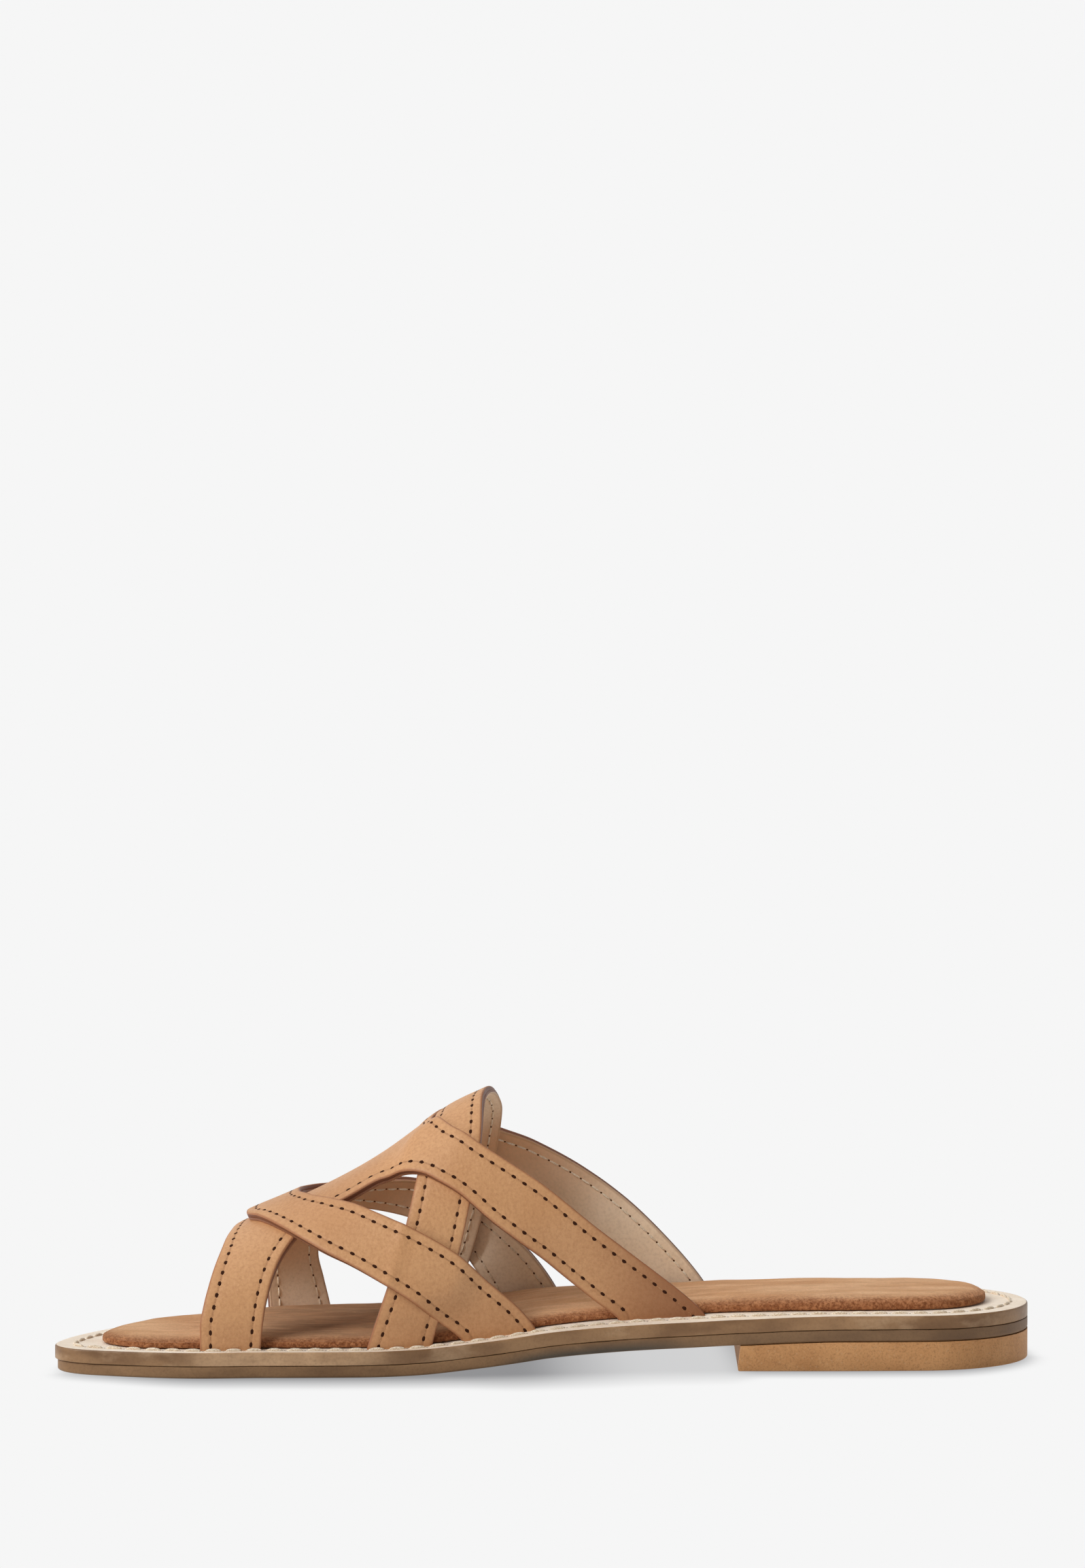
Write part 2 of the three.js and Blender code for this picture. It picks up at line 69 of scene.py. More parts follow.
def aim_camera():
    back = Vector((math.sin(camera_azimuth) * math.cos(camera_elevation),
                   -math.cos(camera_azimuth) * math.cos(camera_elevation),
                   math.sin(camera_elevation)))
    focal_pixels = pixels_per_mm * camera_distance / MM
    pitch = camera_elevation - math.atan((aim_pixel_y - picture_height / 2) / focal_pixels)
    yaw = camera_azimuth + math.atan((aim_pixel_x - picture_width / 2) / focal_pixels)
    forward = Vector((-math.sin(yaw) * math.cos(pitch),
                      math.cos(yaw) * math.cos(pitch),
                      -math.sin(pitch)))
    right = Vector((math.cos(yaw), math.sin(yaw), 0.0))
    up = right.cross(forward)
    data = bpy.data.cameras.new("camera")
    data.sensor_width = sensor
    data.lens = focal_pixels / picture_height * sensor
    data.clip_start = 0.01
    data.clip_end = 50.0
    camera = bpy.data.objects.new("camera", data)
    turn = Matrix((right, up, -forward)).transposed().to_4x4()
    camera.matrix_world = Matrix.Translation(aim + back * camera_distance) @ turn
    bpy.context.scene.collection.objects.link(camera)
    bpy.context.scene.camera = camera
    return camera


camera = aim_camera()
print(f"lens {camera.data.lens:.1f} mm")

# %% [markdown]
# ## Sizes
# All sizes are in millimetres, as a maker would write them. The tables give the sections of
# the sole, the footbed and the last, with one row for each section. A track is a smooth
# curve through a column of a table that never swings past its rows.

# %% Driving sizes
length = 258.0
ball_width = 85.0
heel_width = 62.0
outsole_thickness = 3.0
board_thickness = 3.5
heel_lift = 7.7
toe_spring = 0.5
arch_crown = 1.0
footbed_thickness = 4.0
footbed_round_over = 7.0
rim_width = 10.0
toe_rim = 12.3
heel_rim = 11.2
instep_height = 61.8
ridge_shift = 5.0
strap_thickness = 2.2
seam_row = 2.7
slot_depth = 2.0
clearance = 0.3
toe_round_share = 0.333
toe_power = 0.57
footbed_toe_round_share = 0.055
footbed_toe_power = 0.40
arch_power = 0.85
origin_share = 0.0796
notch_end = 0.28
heel_breast_inner = 0.694
heel_breast_outer = 0.702
heel_inner_lean = -0.0024
heel_outer_lean = 0.0043
board_bottom = outsole_thickness + clearance
board_top = board_bottom + board_thickness
buried = (slot_depth - clearance) / instep_height


# %% Tables
def table(columns, *rows):
    return dict(zip(columns.split(), np.array(rows, float).T))


sole_sections = table(
    "along centre width",
    (0.00, -0.235, 1.00),
    (0.02, -0.185, 1.00),
    (0.05, -0.120, 1.00),
    (0.08, -0.080, 1.00),
    (0.14, -0.021, 1.00),
    (0.22, 0.050, 1.00),
    (0.33, 0.080, 1.00),
    (0.42, 0.085, 0.90),
    (0.50, 0.079, 0.63),
    (0.58, 0.066, 0.35),
    (0.66, 0.046, 0.15),
    (0.74, 0.020, 0.05),
    (0.82, 0.004, 0.00),
    (1.00, 0.000, 0.00),
)
sole_rise = table(
    "along toe heel crown",
    (0.00, 1.0, 0.00, 0.0),
    (0.05, 0.2, 0.00, 0.0),
    (0.12, 0.0, 0.00, 0.0),
    (0.31, 0.0, 0.00, 0.0),
    (0.36, 0.0, 0.065, 0.2),
    (0.43, 0.0, 0.31, 0.5),
    (0.47, 0.0, 0.49, 0.7),
    (0.50, 0.0, 0.63, 0.8),
    (0.57, 0.0, 0.82, 1.0),
    (0.64, 0.0, 0.92, 1.0),
    (0.70, 0.0, 0.99, 0.8),
    (0.75, 0.0, 1.00, 0.3),
    (0.80, 0.0, 1.00, 0.0),
    (1.00, 0.0, 1.00, 0.0),
)
footbed_sections = table(
    "along inner_rim outer_rim pillow",
    (0.00, 0.38, 1.05, 0.75),
    (0.05, 0.42, 1.05, 0.75),
    (0.14, 0.63, 0.95, 0.75),
    (0.22, 0.63, 0.83, 0.75),
    (0.33, 0.63, 0.80, 0.75),
    (0.42, 0.80, 0.87, 0.75),
    (0.55, 1.00, 1.00, 0.75),
    (0.70, 1.04, 1.04, 0.90),
    (0.80, 0.93, 0.93, 1.00),
    (0.90, 1.00, 1.00, 1.00),
    (1.00, 1.00, 1.00, 1.00),
)
last_sections = table(
    "along ridge",
    (0.07, 0.19),
    (0.15, 0.354),
    (0.19, 0.441),
    (0.25, 0.543),
    (0.29, 0.620),
    (0.34, 0.734),
    (0.39, 0.870),
    (0.41, 0.918),
    (0.45, 0.978),
    (0.50, 1.06),
    (0.58, 1.13),
    (0.73, 1.19),
)
# The straps' edges. round: -1 at the inner side of the foot, 0 on the ridge, 1 at the outer.
front_arm = table(
    "round fore aft",
    (-1.00, 0.147, 0.208),
    (-0.87, 0.147, 0.211),
    (-0.72, 0.151, 0.217),
    (-0.57, 0.157, 0.227),
    (-0.46, 0.162, 0.239),
    (-0.36, 0.167, 0.256),
    (-0.28, 0.171, 0.276),
    (-0.11, 0.178, 0.281),
    (0.11, 0.189, 0.284),
    (0.28, 0.199, 0.288),
    (0.36, 0.203, 0.281),
    (0.50, 0.210, 0.273),
    (0.73, 0.217, 0.271),
    (0.87, 0.219, 0.277),
    (1.00, 0.221, 0.285),
)
rear_arm = table(
    "round fore aft",
    (-1.00, 0.572, 0.661),
    (-0.97, 0.549, 0.641),
    (-0.92, 0.521, 0.609),
    (-0.86, 0.494, 0.575),
    (-0.79, 0.466, 0.541),
    (-0.70, 0.437, 0.507),
    (-0.60, 0.413, 0.476),
    (-0.50, 0.391, 0.450),
    (-0.42, 0.375, 0.432),
    (-0.35, 0.355, 0.420),
    (-0.28, 0.324, 0.409),
    (-0.15, 0.326, 0.399),
    (0.00, 0.328, 0.391),
    (0.13, 0.330, 0.392),
    (0.28, 0.332, 0.413),
    (0.35, 0.358, 0.427),
    (0.48, 0.397, 0.455),
    (0.60, 0.432, 0.496),
    (0.72, 0.470, 0.549),
    (0.83, 0.512, 0.602),
    (0.95, 0.570, 0.656),
    (1.00, 0.602, 0.678),
)
front_hoop = table(
    "round fore aft",
    (-1.00, 0.411, 0.486),
    (-0.95, 0.385, 0.466),
    (-0.88, 0.359, 0.438),
    (-0.80, 0.332, 0.412),
    (-0.70, 0.302, 0.381),
    (-0.60, 0.275, 0.354),
    (-0.50, 0.255, 0.330),
    (-0.40, 0.239, 0.309),
    (-0.30, 0.226, 0.288),
    (-0.16, 0.212, 0.266),
    (0.00, 0.201, 0.256),
    (0.14, 0.204, 0.260),
    (0.30, 0.226, 0.282),
    (0.57, 0.313, 0.374),
    (0.70, 0.361, 0.418),
    (0.79, 0.395, 0.449),
    (0.90, 0.4275, 0.489),
    (1.00, 0.455, 0.523),
)
rear_hoop = table(
    "round fore aft",
    (-1.00, 0.315, 0.380),
    (-0.94, 0.322, 0.388),
    (-0.80, 0.337, 0.406),
    (-0.62, 0.354, 0.421),
    (-0.41, 0.369, 0.433),
    (-0.05, 0.391, 0.441),
    (0.20, 0.400, 0.455),
    (0.37, 0.402, 0.462),
    (0.60, 0.393, 0.456),
    (0.79, 0.376, 0.442),
    (0.90, 0.362, 0.430),
    (1.00, 0.345, 0.410),
)


# %% Tracks
def track(rows, column):
    at = next(iter(rows.values()))
    values = rows[column]
    span = np.diff(at)
    slope = np.diff(values) / span
    tangent = np.zeros(len(at))
    tangent[0] = slope[0]
    tangent[-1] = slope[-1]
    for i in range(1, len(at) - 1):
        before, after = slope[i - 1], slope[i]
        if before * after > 0:
            weight_before = 2 * span[i] + span[i - 1]
            weight_after = span[i] + 2 * span[i - 1]
            weights = weight_before + weight_after
            tangent[i] = weights / (weight_before / before + weight_after / after)

    def value(where):
        x = np.clip(where, at[0], at[-1])
        i = np.clip(np.searchsorted(at, x, side="right") - 1, 0, len(at) - 2)
        t = (x - at[i]) / span[i]
        back = 1 - t
        return ((1 + 2 * t) * back ** 2 * values[i] + t * back ** 2 * span[i] * tangent[i]
                + t * t * (3 - 2 * t) * values[i + 1] - t * t * back * span[i] * tangent[i + 1])

    return value


def ramp(start, stop, value):
    t = np.clip((value - start) / (stop - start), 0, 1)
    return t * t * (3 - 2 * t)


def x_at(along):
    return (along - 0.5) * length


def along_at(x):
    return x / length + 0.5


centre_track = track(sole_sections, "centre")
width_track = track(sole_sections, "width")
toe_track = track(sole_rise, "toe")
heel_track = track(sole_rise, "heel")
crown_track = track(sole_rise, "crown")
inner_rim_track = track(footbed_sections, "inner_rim")
outer_rim_track = track(footbed_sections, "outer_rim")
pillow_track = track(footbed_sections, "pillow")
ridge_track = track(last_sections, "ridge")
print("tracks ready")

# %% [markdown]
# ## The outline and the seat
# A sole is drawn on paper first: a middle line that bends towards the big toe, and a width
# at each section. The ends are closed by a power of a round, blunter at the toe. The seat
# is the height of the sole's underside: flat under the ball, rising to the heel's lift.


# %% Outline, seat and footbed edge
def round_end(share, power):
    return (1 - (1 - np.clip(share, 0, 1)) ** 2) ** power


def centre_at(along):
    return (centre_track(along) - origin_share) * ball_width


def half_width_at(along):
    width = heel_width + (ball_width - heel_width) * width_track(along)
    toe = round_end(along / toe_round_share, toe_power)
    heel = round_end((1 - along) / (heel_width / 2 / length), 0.5)
    return 0.5 * width * toe * heel


def along_at_angle(angle):
    return (1 - np.cos(angle)) / 2


def sole_edge(angle, side, inset):
    def point(a):
        along = along_at_angle(np.clip(a, 0, np.pi))
        return np.stack([x_at(along), centre_at(along) + side * half_width_at(along)], -1)

    step = 1e-3
    run = point(angle + step) - point(angle - step)
    run /= np.linalg.norm(run, axis=-1, keepdims=True)
    inward = np.stack([side * run[..., 1], -side * run[..., 0]], -1)
    return point(angle) + inward * np.reshape(inset, (-1, 1))


def footbed_y(along, side, inward):
    toe = (toe_rim + inward) / length
    heel = 1 - (heel_rim + inward) / length
    inner_margin = rim_width * inner_rim_track(along) + inward
    outer_margin = rim_width * outer_rim_track(along) + inward
    middle = centre_at(along) + (inner_margin - outer_margin) / 2
    margin = (inner_margin + outer_margin) / 2
    heel_round = (heel_width / 2 - rim_width - inward) / length
    at_heel = (heel_width / 2 - margin) * round_end((heel - along) / heel_round, 0.5)
    opening = round_end((along - toe) / footbed_toe_round_share, footbed_toe_power)
    ahead = (half_width_at(along) - margin) * opening
    half = np.where(along > 1 - heel_width / 2 / length, at_heel, ahead)
    return middle + side * np.maximum(0, half)


def footbed_edge(angle, side, inward):
    toe = (toe_rim + inward) / length
    heel = 1 - (heel_rim + inward) / length
    along = toe + (heel - toe) * along_at_angle(angle)
    return np.stack([x_at(along), footbed_y(along, side, inward)], -1)


def seat(x, y):
    along = along_at(x)
    half = np.maximum(half_width_at(along), heel_width / 4)
    across = np.clip(np.abs(y - centre_at(along)) / half, 0, 1)
    return (toe_spring * toe_track(along) + heel_lift * heel_track(along)
            - arch_crown * crown_track(along) * across ** 2)


# %% [markdown]
# ## The last
# Straps take their shape from the last, the wooden foot that they are pulled over. A place
# on it has two numbers: along, from toe to heel, and round, from the inner side over the
# ridge to the outer side. A section of the last is a pair of flattened quarter arches.


# %% A point and a normal of the last
def last_point(along, round_):
    along, round_ = np.broadcast_arrays(np.asarray(along, float), np.asarray(round_, float))
    x = x_at(along)
    side = np.where(round_ < 0, -1.0, 1.0)
    ridge_y = centre_at(along) - ridge_shift
    base_y = np.where(side < 0, footbed_y(along, -1, 0), footbed_y(along, 1, 0)) + side * clearance
    base_z = seat(x, base_y) + board_top
    ridge_z = seat(x, centre_at(along)) + board_top + instep_height * ridge_track(along)
    reach = np.abs(round_)
    rise = (1 - np.minimum(1, reach)) * np.pi / 2
    y = ridge_y + (base_y - ridge_y) * np.cos(rise) ** arch_power
    z = base_z + (ridge_z - base_z) * np.sin(rise) ** arch_power
    return np.stack([x, y, z - np.maximum(0, reach - 1) * instep_height], -1)


def last_normal(along, round_):
    held = np.clip(round_, -0.999, 0.999)
    step = 0.001
    across = last_point(along, held + step) - last_point(along, held - step)
    ahead = last_point(along + step, held) - last_point(along - step, held)
    normal = np.cross(ahead, across)
    return normal / np.linalg.norm(normal, axis=-1, keepdims=True)


# %% [markdown]
# ## Meshes from faces
# A helper turns points and faces into a Blender mesh, in metres, with smooth shading and a
# material for each face. A second one makes closed slabs: sheets stacked from the underside
# to the top, joined round their border. The sheets near an edge make it round.


# %% Mesh helpers
def add_mesh(name, points, faces, face_materials, materials, attributes=None):
    mesh = bpy.data.meshes.new(name)
    places = (np.asarray(points, float) * MM).tolist()
    mesh.from_pydata(places, [], [list(map(int, face)) for face in faces])
    for material in materials:
        mesh.materials.append(material)
    mesh.polygons.foreach_set("material_index", np.asarray(face_materials, np.int32))
    mesh.polygons.foreach_set("use_smooth", np.ones(len(mesh.polygons), bool))
    for key, values in (attributes or {}).items():
        layer = mesh.attributes.new(key, "FLOAT", "POINT")
        layer.data.foreach_set("value", np.asarray(values, np.float32))
    mesh.validate()
    mesh.update()
    piece = bpy.data.objects.new(name, mesh)
    bpy.context.scene.collection.objects.link(piece)
    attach(piece, "root")
    print(f"{name}: {len(mesh.polygons)} faces")
    return piece


def weld(points, faces, kinds, tolerance=1e-4):
    keys = np.round(np.asarray(points) / tolerance).astype(np.int64)
    _, first, index = np.unique(keys, axis=0, return_index=True, return_inverse=True)
    index = index.reshape(-1)
    kept_faces, kept_kinds = [], []
    for face, kind in zip(faces, kinds):
        corners = [int(index[i]) for i in face]
        corners = [c for k, c in enumerate(corners) if c != corners[k - 1]]
        if len(corners) > 2:
            kept_faces.append(corners)
            kept_kinds.append(kind)
    return np.asarray(points)[first], kept_faces, kept_kinds, first


def slab(sheets, kinds):
    points, faces, face_kinds = [], [], []
    rows, columns = sheets[0].shape[:2]
    for sheet in sheets:
        points.append(sheet.reshape(-1, 3))

    def number(level, i, j):
        return (level * rows + i) * columns + j

    top = len(sheets) - 1
    for i in range(rows - 1):
        for j in range(columns - 1):
            under = [number(0, i, j), number(0, i, j + 1),
                     number(0, i + 1, j + 1), number(0, i + 1, j)]
            over = [number(top, i, j), number(top, i + 1, j),
                    number(top, i + 1, j + 1), number(top, i, j + 1)]
            faces += [under, over]
            face_kinds += [kinds[0], kinds[-1]]
    border = ([(i, 0) for i in range(rows)] + [(rows - 1, j) for j in range(1, columns - 1)]
              + [(i, columns - 1) for i in reversed(range(rows))]
              + [(0, j) for j in reversed(range(1, columns - 1))])
    for level in range(top):
        for k, here in enumerate(border):
            there = border[(k + 1) % len(border)]
            faces.append([number(level, *here), number(level, *there),
                          number(level + 1, *there), number(level + 1, *here)])
            face_kinds.append(kinds[level + 1])
    return weld(np.concatenate(points), faces, face_kinds)[:3]


stations = 260
cells_across = 26


def sheet(edge, height, starts=(0.0, 0.0)):
    share = np.linspace(0, 1, stations + 1)
    inner_angle, outer_angle = [start + (np.pi - start) * share for start in starts]
    inner, outer = edge(inner_angle, -1), edge(outer_angle, 1)
    ends = [-1] if starts[0] > 0 else [0, -1]
    for end in ends:
        inner[end] = outer[end] = (inner[end] + outer[end]) / 2
    t = np.linspace(0, 1, cells_across + 1).reshape(1, -1, 1)
    flat = inner[:, None] + (outer - inner)[:, None] * t
    return np.concatenate([flat, height(flat[..., 0], flat[..., 1])[..., None]], -1)


# %% [markdown]
# ## Materials
# Colours are mixed from noise at the sizes that the real material shows: broad tone, grain
# and fine speckle. Bump gives the grain its relief. Cut edges are burnished, so they are
# darker, redder and smoother, and every leather gets a little darker beside them.


# %% Node helpers
def linear(red, green, blue):
    def one(value):
        value /= 255
        return value / 12.92 if value <= 0.04045 else ((value + 0.055) / 1.055) ** 2.4
    return (one(red), one(green), one(blue), 1.0)


class Finish:
    def __init__(self, name, roughness=0.6, specular=0.4):
        self.material = bpy.data.materials.new(name)
        self.material.use_nodes = True
        self.tree = self.material.node_tree
        self.shader = self.tree.nodes["Principled BSDF"]
        self.shader.inputs["Roughness"].default_value = roughness
        self.shader.inputs["Specular IOR Level"].default_value = specular
        self.place = self.add("ShaderNodeTexCoord").outputs["Object"]

    def add(self, kind, **settings):
        node = self.tree.nodes.new(kind)
        for key, value in settings.items():
            setattr(node, key, value)
        return node

    def plug(self, source, socket):
        if hasattr(source, "is_output"):
            self.tree.links.new(source, socket)
        else:
            socket.default_value = source

    def stretched(self, scale):
        node = self.add("ShaderNodeMapping")
        self.plug(self.place, node.inputs["Vector"])
        node.inputs["Scale"].default_value = scale
        return node.outputs["Vector"]

    def noise(self, feature_mm, detail=3.0, roughness=0.55, stretch=None, seed=0.0):
        node = self.add("ShaderNodeTexNoise", noise_dimensions="4D")
        self.plug(self.stretched(stretch) if stretch else self.place, node.inputs["Vector"])
        node.inputs["W"].default_value = seed
        node.inputs["Scale"].default_value = 1000.0 / feature_mm
        node.inputs["Detail"].default_value = detail
        node.inputs["Roughness"].default_value = roughness
        return node.outputs["Fac"]

    def cells(self, feature_mm):
        node = self.add("ShaderNodeTexVoronoi")
        self.plug(self.place, node.inputs["Vector"])
        node.inputs["Scale"].default_value = 1000.0 / feature_mm
        return node.outputs["Distance"]

    def spread(self, value, low, high, start=0.0, stop=1.0):
        node = self.add("ShaderNodeMapRange", interpolation_type="SMOOTHSTEP")
        self.plug(value, node.inputs["Value"])
        node.inputs["From Min"].default_value = low
        node.inputs["From Max"].default_value = high
        node.inputs["To Min"].default_value = start
        node.inputs["To Max"].default_value = stop
        return node.outputs["Result"]

    def attribute(self, name):
        return self.add("ShaderNodeAttribute", attribute_name=name).outputs["Fac"]

    def maths(self, operation, first, second):
        node = self.add("ShaderNodeMath", operation=operation)
        self.plug(first, node.inputs[0])
        self.plug(second, node.inputs[1])
        return node.outputs["Value"]

    def times(self, first, second):
        return self.maths("MULTIPLY", first, second)

    def mix(self, share, first, second):
        node = self.add("ShaderNodeMix", data_type="RGBA")
        self.plug(share, node.inputs["Factor"])
        self.plug(first, node.inputs["A"])
        self.plug(second, node.inputs["B"])
        return next(socket for socket in node.outputs if socket.type == "RGBA")

    def tones(self, source, low, high, dark, light):
        return self.mix(self.spread(source, low, high), linear(*dark), linear(*light))

    def tint(self, colour, source, low, high, most, tone):
        return self.mix(self.spread(source, low, high, 0.0, most), colour, linear(*tone))

    def bump(self, height, distance_mm, strength=1.0, under=None):
        node = self.add("ShaderNodeBump")
        self.plug(height, node.inputs["Height"])
        node.inputs["Distance"].default_value = distance_mm * MM
        node.inputs["Strength"].default_value = strength
        if under is not None:
            self.plug(under, node.inputs["Normal"])
        return node.outputs["Normal"]

    def done(self, colour, normal=None, roughness=None):
        self.plug(colour, self.shader.inputs["Base Color"])
        if normal is not None:
            self.plug(normal, self.shader.inputs["Normal"])
        if roughness is not None:
            self.plug(roughness, self.shader.inputs["Roughness"])
        return self.material


# %% Strap leather, its edges and its lining
def strap_leather():
    finish = Finish("strap_leather", 0.55, 0.35)
    broad = finish.noise(28, 2, 0.5)
    grain = finish.noise(0.9, 4, 0.65)
    tone = finish.tones(broad, 0.3, 0.7, (201, 147, 99), (213, 161, 113))
    tone = finish.tint(tone, grain, 0.35, 0.75, 0.48, (172, 118, 75))
    edge = finish.attribute("edge")
    # Painted shade: the leather is darker towards the sole, most at the rear arms' bases.
    tone = finish.mix(finish.times(finish.attribute("base_shade"), 0.90), tone, linear(138, 86, 52))
    tone = finish.mix(finish.spread(edge, 0.10, 0.75, 0.8, 0.0), tone, linear(158, 100, 66))
    sewn = finish.maths("ABSOLUTE", finish.maths("SUBTRACT", edge, seam_row), 0.0)
    tone = finish.mix(finish.spread(sewn, 0.05, 0.45, 0.35, 0.0), tone, linear(140, 92, 56))
    pores = finish.cells(0.8)
    relief = finish.maths("ADD", grain, finish.times(pores, 0.6))
    wrinkles = finish.bump(finish.noise(5, 3, 0.6, (1.0, 1.0, 1.0), 3.0), 0.25, 0.35)
    normal = finish.bump(relief, 0.12, 0.7, wrinkles)
    finish.shader.inputs["Coat Weight"].default_value = 0.08
    finish.shader.inputs["Coat Roughness"].default_value = 0.35
    return finish.done(tone, normal, finish.spread(grain, 0.2, 0.8, 0.48, 0.66))


def cut_edge():
    finish = Finish("cut_edge", 0.5, 0.4)
    depth = finish.attribute("depth")
    fibres = finish.noise(0.7, 4, 0.7, (1.0, 1.0, 2.5))
    colour = finish.tones(depth, 0.30, 0.50, (150, 98, 66), (126, 76, 50))
    colour = finish.tint(colour, fibres, 0.35, 0.7, 0.5, (98, 58, 40))
    return finish.done(colour, finish.bump(fibres, 0.12, 0.5))


def lining_leather():
    finish = Finish("lining_leather", 0.6, 0.3)
    broad = finish.noise(22, 2, 0.5)
    grain = finish.noise(0.8, 4, 0.6)
    colour = finish.tones(broad, 0.3, 0.7, (210, 164, 124), (226, 182, 142))
    # Painted light: a paler copy of the lining, used towards the lower ends and round the tab.
    pale = finish.tones(broad, 0.3, 0.7, (246, 224, 194), (254, 236, 210))
    colour = finish.mix(finish.attribute("low"), colour, pale)
    colour = finish.tint(colour, grain, 0.4, 0.75, 0.3, (190, 164, 132))
    edge = finish.attribute("edge")
    colour = finish.mix(finish.spread(edge, 0.2, 0.8, 0.5, 0.0), colour, linear(170, 128, 92))
    normal = finish.bump(finish.cells(1.1), 0.10, 0.5, finish.bump(grain, 0.08, 0.5))
    return finish.done(colour, normal)


# %% Threads and holes
def thread(name, dark, light):
    finish = Finish(name, 0.7, 0.3)
    strands = finish.noise(0.35, 2, 0.5)
    colour = finish.mix(finish.spread(strands, 0.35, 0.65), dark, light)
    finish.shader.inputs["Sheen Weight"].default_value = 0.2
    return finish.done(colour, finish.bump(strands, 0.08, 0.6))


# Painted shade: a needle hole is a dark bead whose colour stands for the shade inside the hole.
def needle_hole(name, dark, light):
    finish = Finish(name, 0.9, 0.1)
    colour = finish.mix(finish.noise(0.4), dark, light)
    return finish.done(colour)


# %% Soles
def board_leather():
    finish = Finish("board_leather", 0.55, 0.35)
    rim = finish.attribute("rim")
    flow = finish.noise(34, 3, 0.55, (1.0, 1.0, 2.5))
    wipe = finish.noise(9, 4, 0.6, (0.7, 1.0, 1.6), 4.0)
    grain = finish.noise(0.8, 4, 0.65)
    side = finish.tones(flow, 0.38, 0.64, (118, 85, 55), (160, 123, 86))
    side = finish.tint(side, wipe, 0.50, 0.72, 0.55, (186, 153, 118))
    # The edge is paler in patches over the forefoot.
    paler_patch = finish.times(finish.attribute("paler_patch"), finish.spread(wipe, 0.3, 0.6, 0.45, 1.0))
    side = finish.mix(paler_patch, side, linear(198, 160, 122))
    side = finish.tint(side, grain, 0.4, 0.8, 0.3, (92, 66, 44))
    top = finish.tones(wipe, 0.3, 0.7, (240, 222, 200), (250, 236, 218))
    top = finish.tint(top, grain, 0.45, 0.8, 0.35, (200, 172, 142))
    ragged = finish.maths("ADD", rim, finish.times(finish.noise(2.2), 0.35))
    colour = finish.mix(finish.spread(ragged, 0.85, 1.10), side, top)
    normal = finish.bump(grain, 0.07, 0.5, finish.bump(finish.noise(3, 3), 0.12, 0.4))
    return finish.done(colour, normal, finish.spread(ragged, 0.7, 1.1, 0.42, 0.68))


def outsole_finish():
    finish = Finish("outsole_finish", 0.55, 0.35)
    flow = finish.noise(26, 3, 0.55, (1.0, 1.0, 2.5), 7.0)
    grain = finish.noise(0.7, 4, 0.7)
    colour = finish.tones(flow, 0.35, 0.65, (120, 88, 58), (154, 118, 82))
    # Painted shade: the undercut lower side at the waist turns dark grey.
    waist_shade = finish.attribute("waist_shade")
    shade = finish.tones(flow, 0.3, 0.7, (70, 62, 52), (92, 80, 66))
    colour = finish.mix(waist_shade, colour, shade)
    colour = finish.tint(colour, grain, 0.4, 0.8, 0.35, (84, 62, 42))
    colour = finish.mix(finish.times(finish.attribute("waxed"), 0.4), colour, linear(84, 62, 42))
    tread = finish.mix(finish.noise(6), linear(126, 98, 68), linear(146, 116, 84))
    colour = finish.mix(finish.attribute("under"), colour, tread)
    normal = finish.bump(grain, 0.08, 0.5)
    return finish.done(colour, normal, finish.spread(flow, 0.3, 0.7, 0.48, 0.62))


def heel_finish():
    finish = Finish("heel_finish", 0.6, 0.3)
    fibre = finish.noise(0.55, 5, 0.75)
    broad = finish.noise(12, 3, 0.6)
    flakes = finish.cells(1.3)
    colour = finish.tones(broad, 0.3, 0.7, (184, 130, 80), (204, 150, 98))
    colour = finish.tint(colour, fibre, 0.45, 0.7, 0.6, (134, 92, 56))
    colour = finish.mix(finish.spread(flakes, 0.1, 0.3, 0.35, 0.0), colour, linear(200, 158, 114))
    return finish.done(colour, finish.bump(fibre, 0.14, 0.7))


# %% Suede
def suede_finish():
    finish = Finish("suede", 0.95, 0.12)
    nap = finish.noise(0.75, 5, 0.75)
    clumps = finish.noise(1.6, 3, 0.6)
    brushed = finish.noise(14, 4, 0.6, (0.45, 2.2, 1.0), 2.0)
    side = finish.attribute("side")
    colour = finish.tones(brushed, 0.34, 0.68, (206, 153, 108), (236, 192, 149))
    strokes = finish.noise(4.5, 4, 0.7, (0.5, 1.6, 1.0), 9.0)
    colour = finish.tint(colour, strokes, 0.45, 0.70, 0.45, (168, 116, 78))
    colour = finish.tint(colour, nap, 0.50, 0.72, 0.35, (238, 200, 160))
    # Painted shade: the top's nap is darker where the straps shade it.
    strap_shade = finish.times(finish.attribute("strap_shade"), finish.spread(strokes, 0.25, 0.6, 0.35, 0.85))
    colour = finish.mix(strap_shade, colour, linear(104, 78, 58))
    dark = finish.tones(clumps, 0.3, 0.7, (152, 95, 60), (190, 130, 88))
    colour = finish.mix(side, colour, dark)
    speckle = finish.times(finish.spread(nap, 0.44, 0.60),
                           finish.spread(side, 0.0, 1.0, 0.20, 0.90))
    colour = finish.mix(speckle, colour, linear(120, 70, 42))
    normal = finish.bump(nap, 0.30, 0.8, finish.bump(clumps, 0.35, 0.5))
    finish.shader.inputs["Sheen Weight"].default_value = 0.6
    finish.shader.inputs["Sheen Roughness"].default_value = 0.4
    finish.shader.inputs["Sheen Tint"].default_value = linear(236, 190, 150)
    return finish.done(colour, normal)


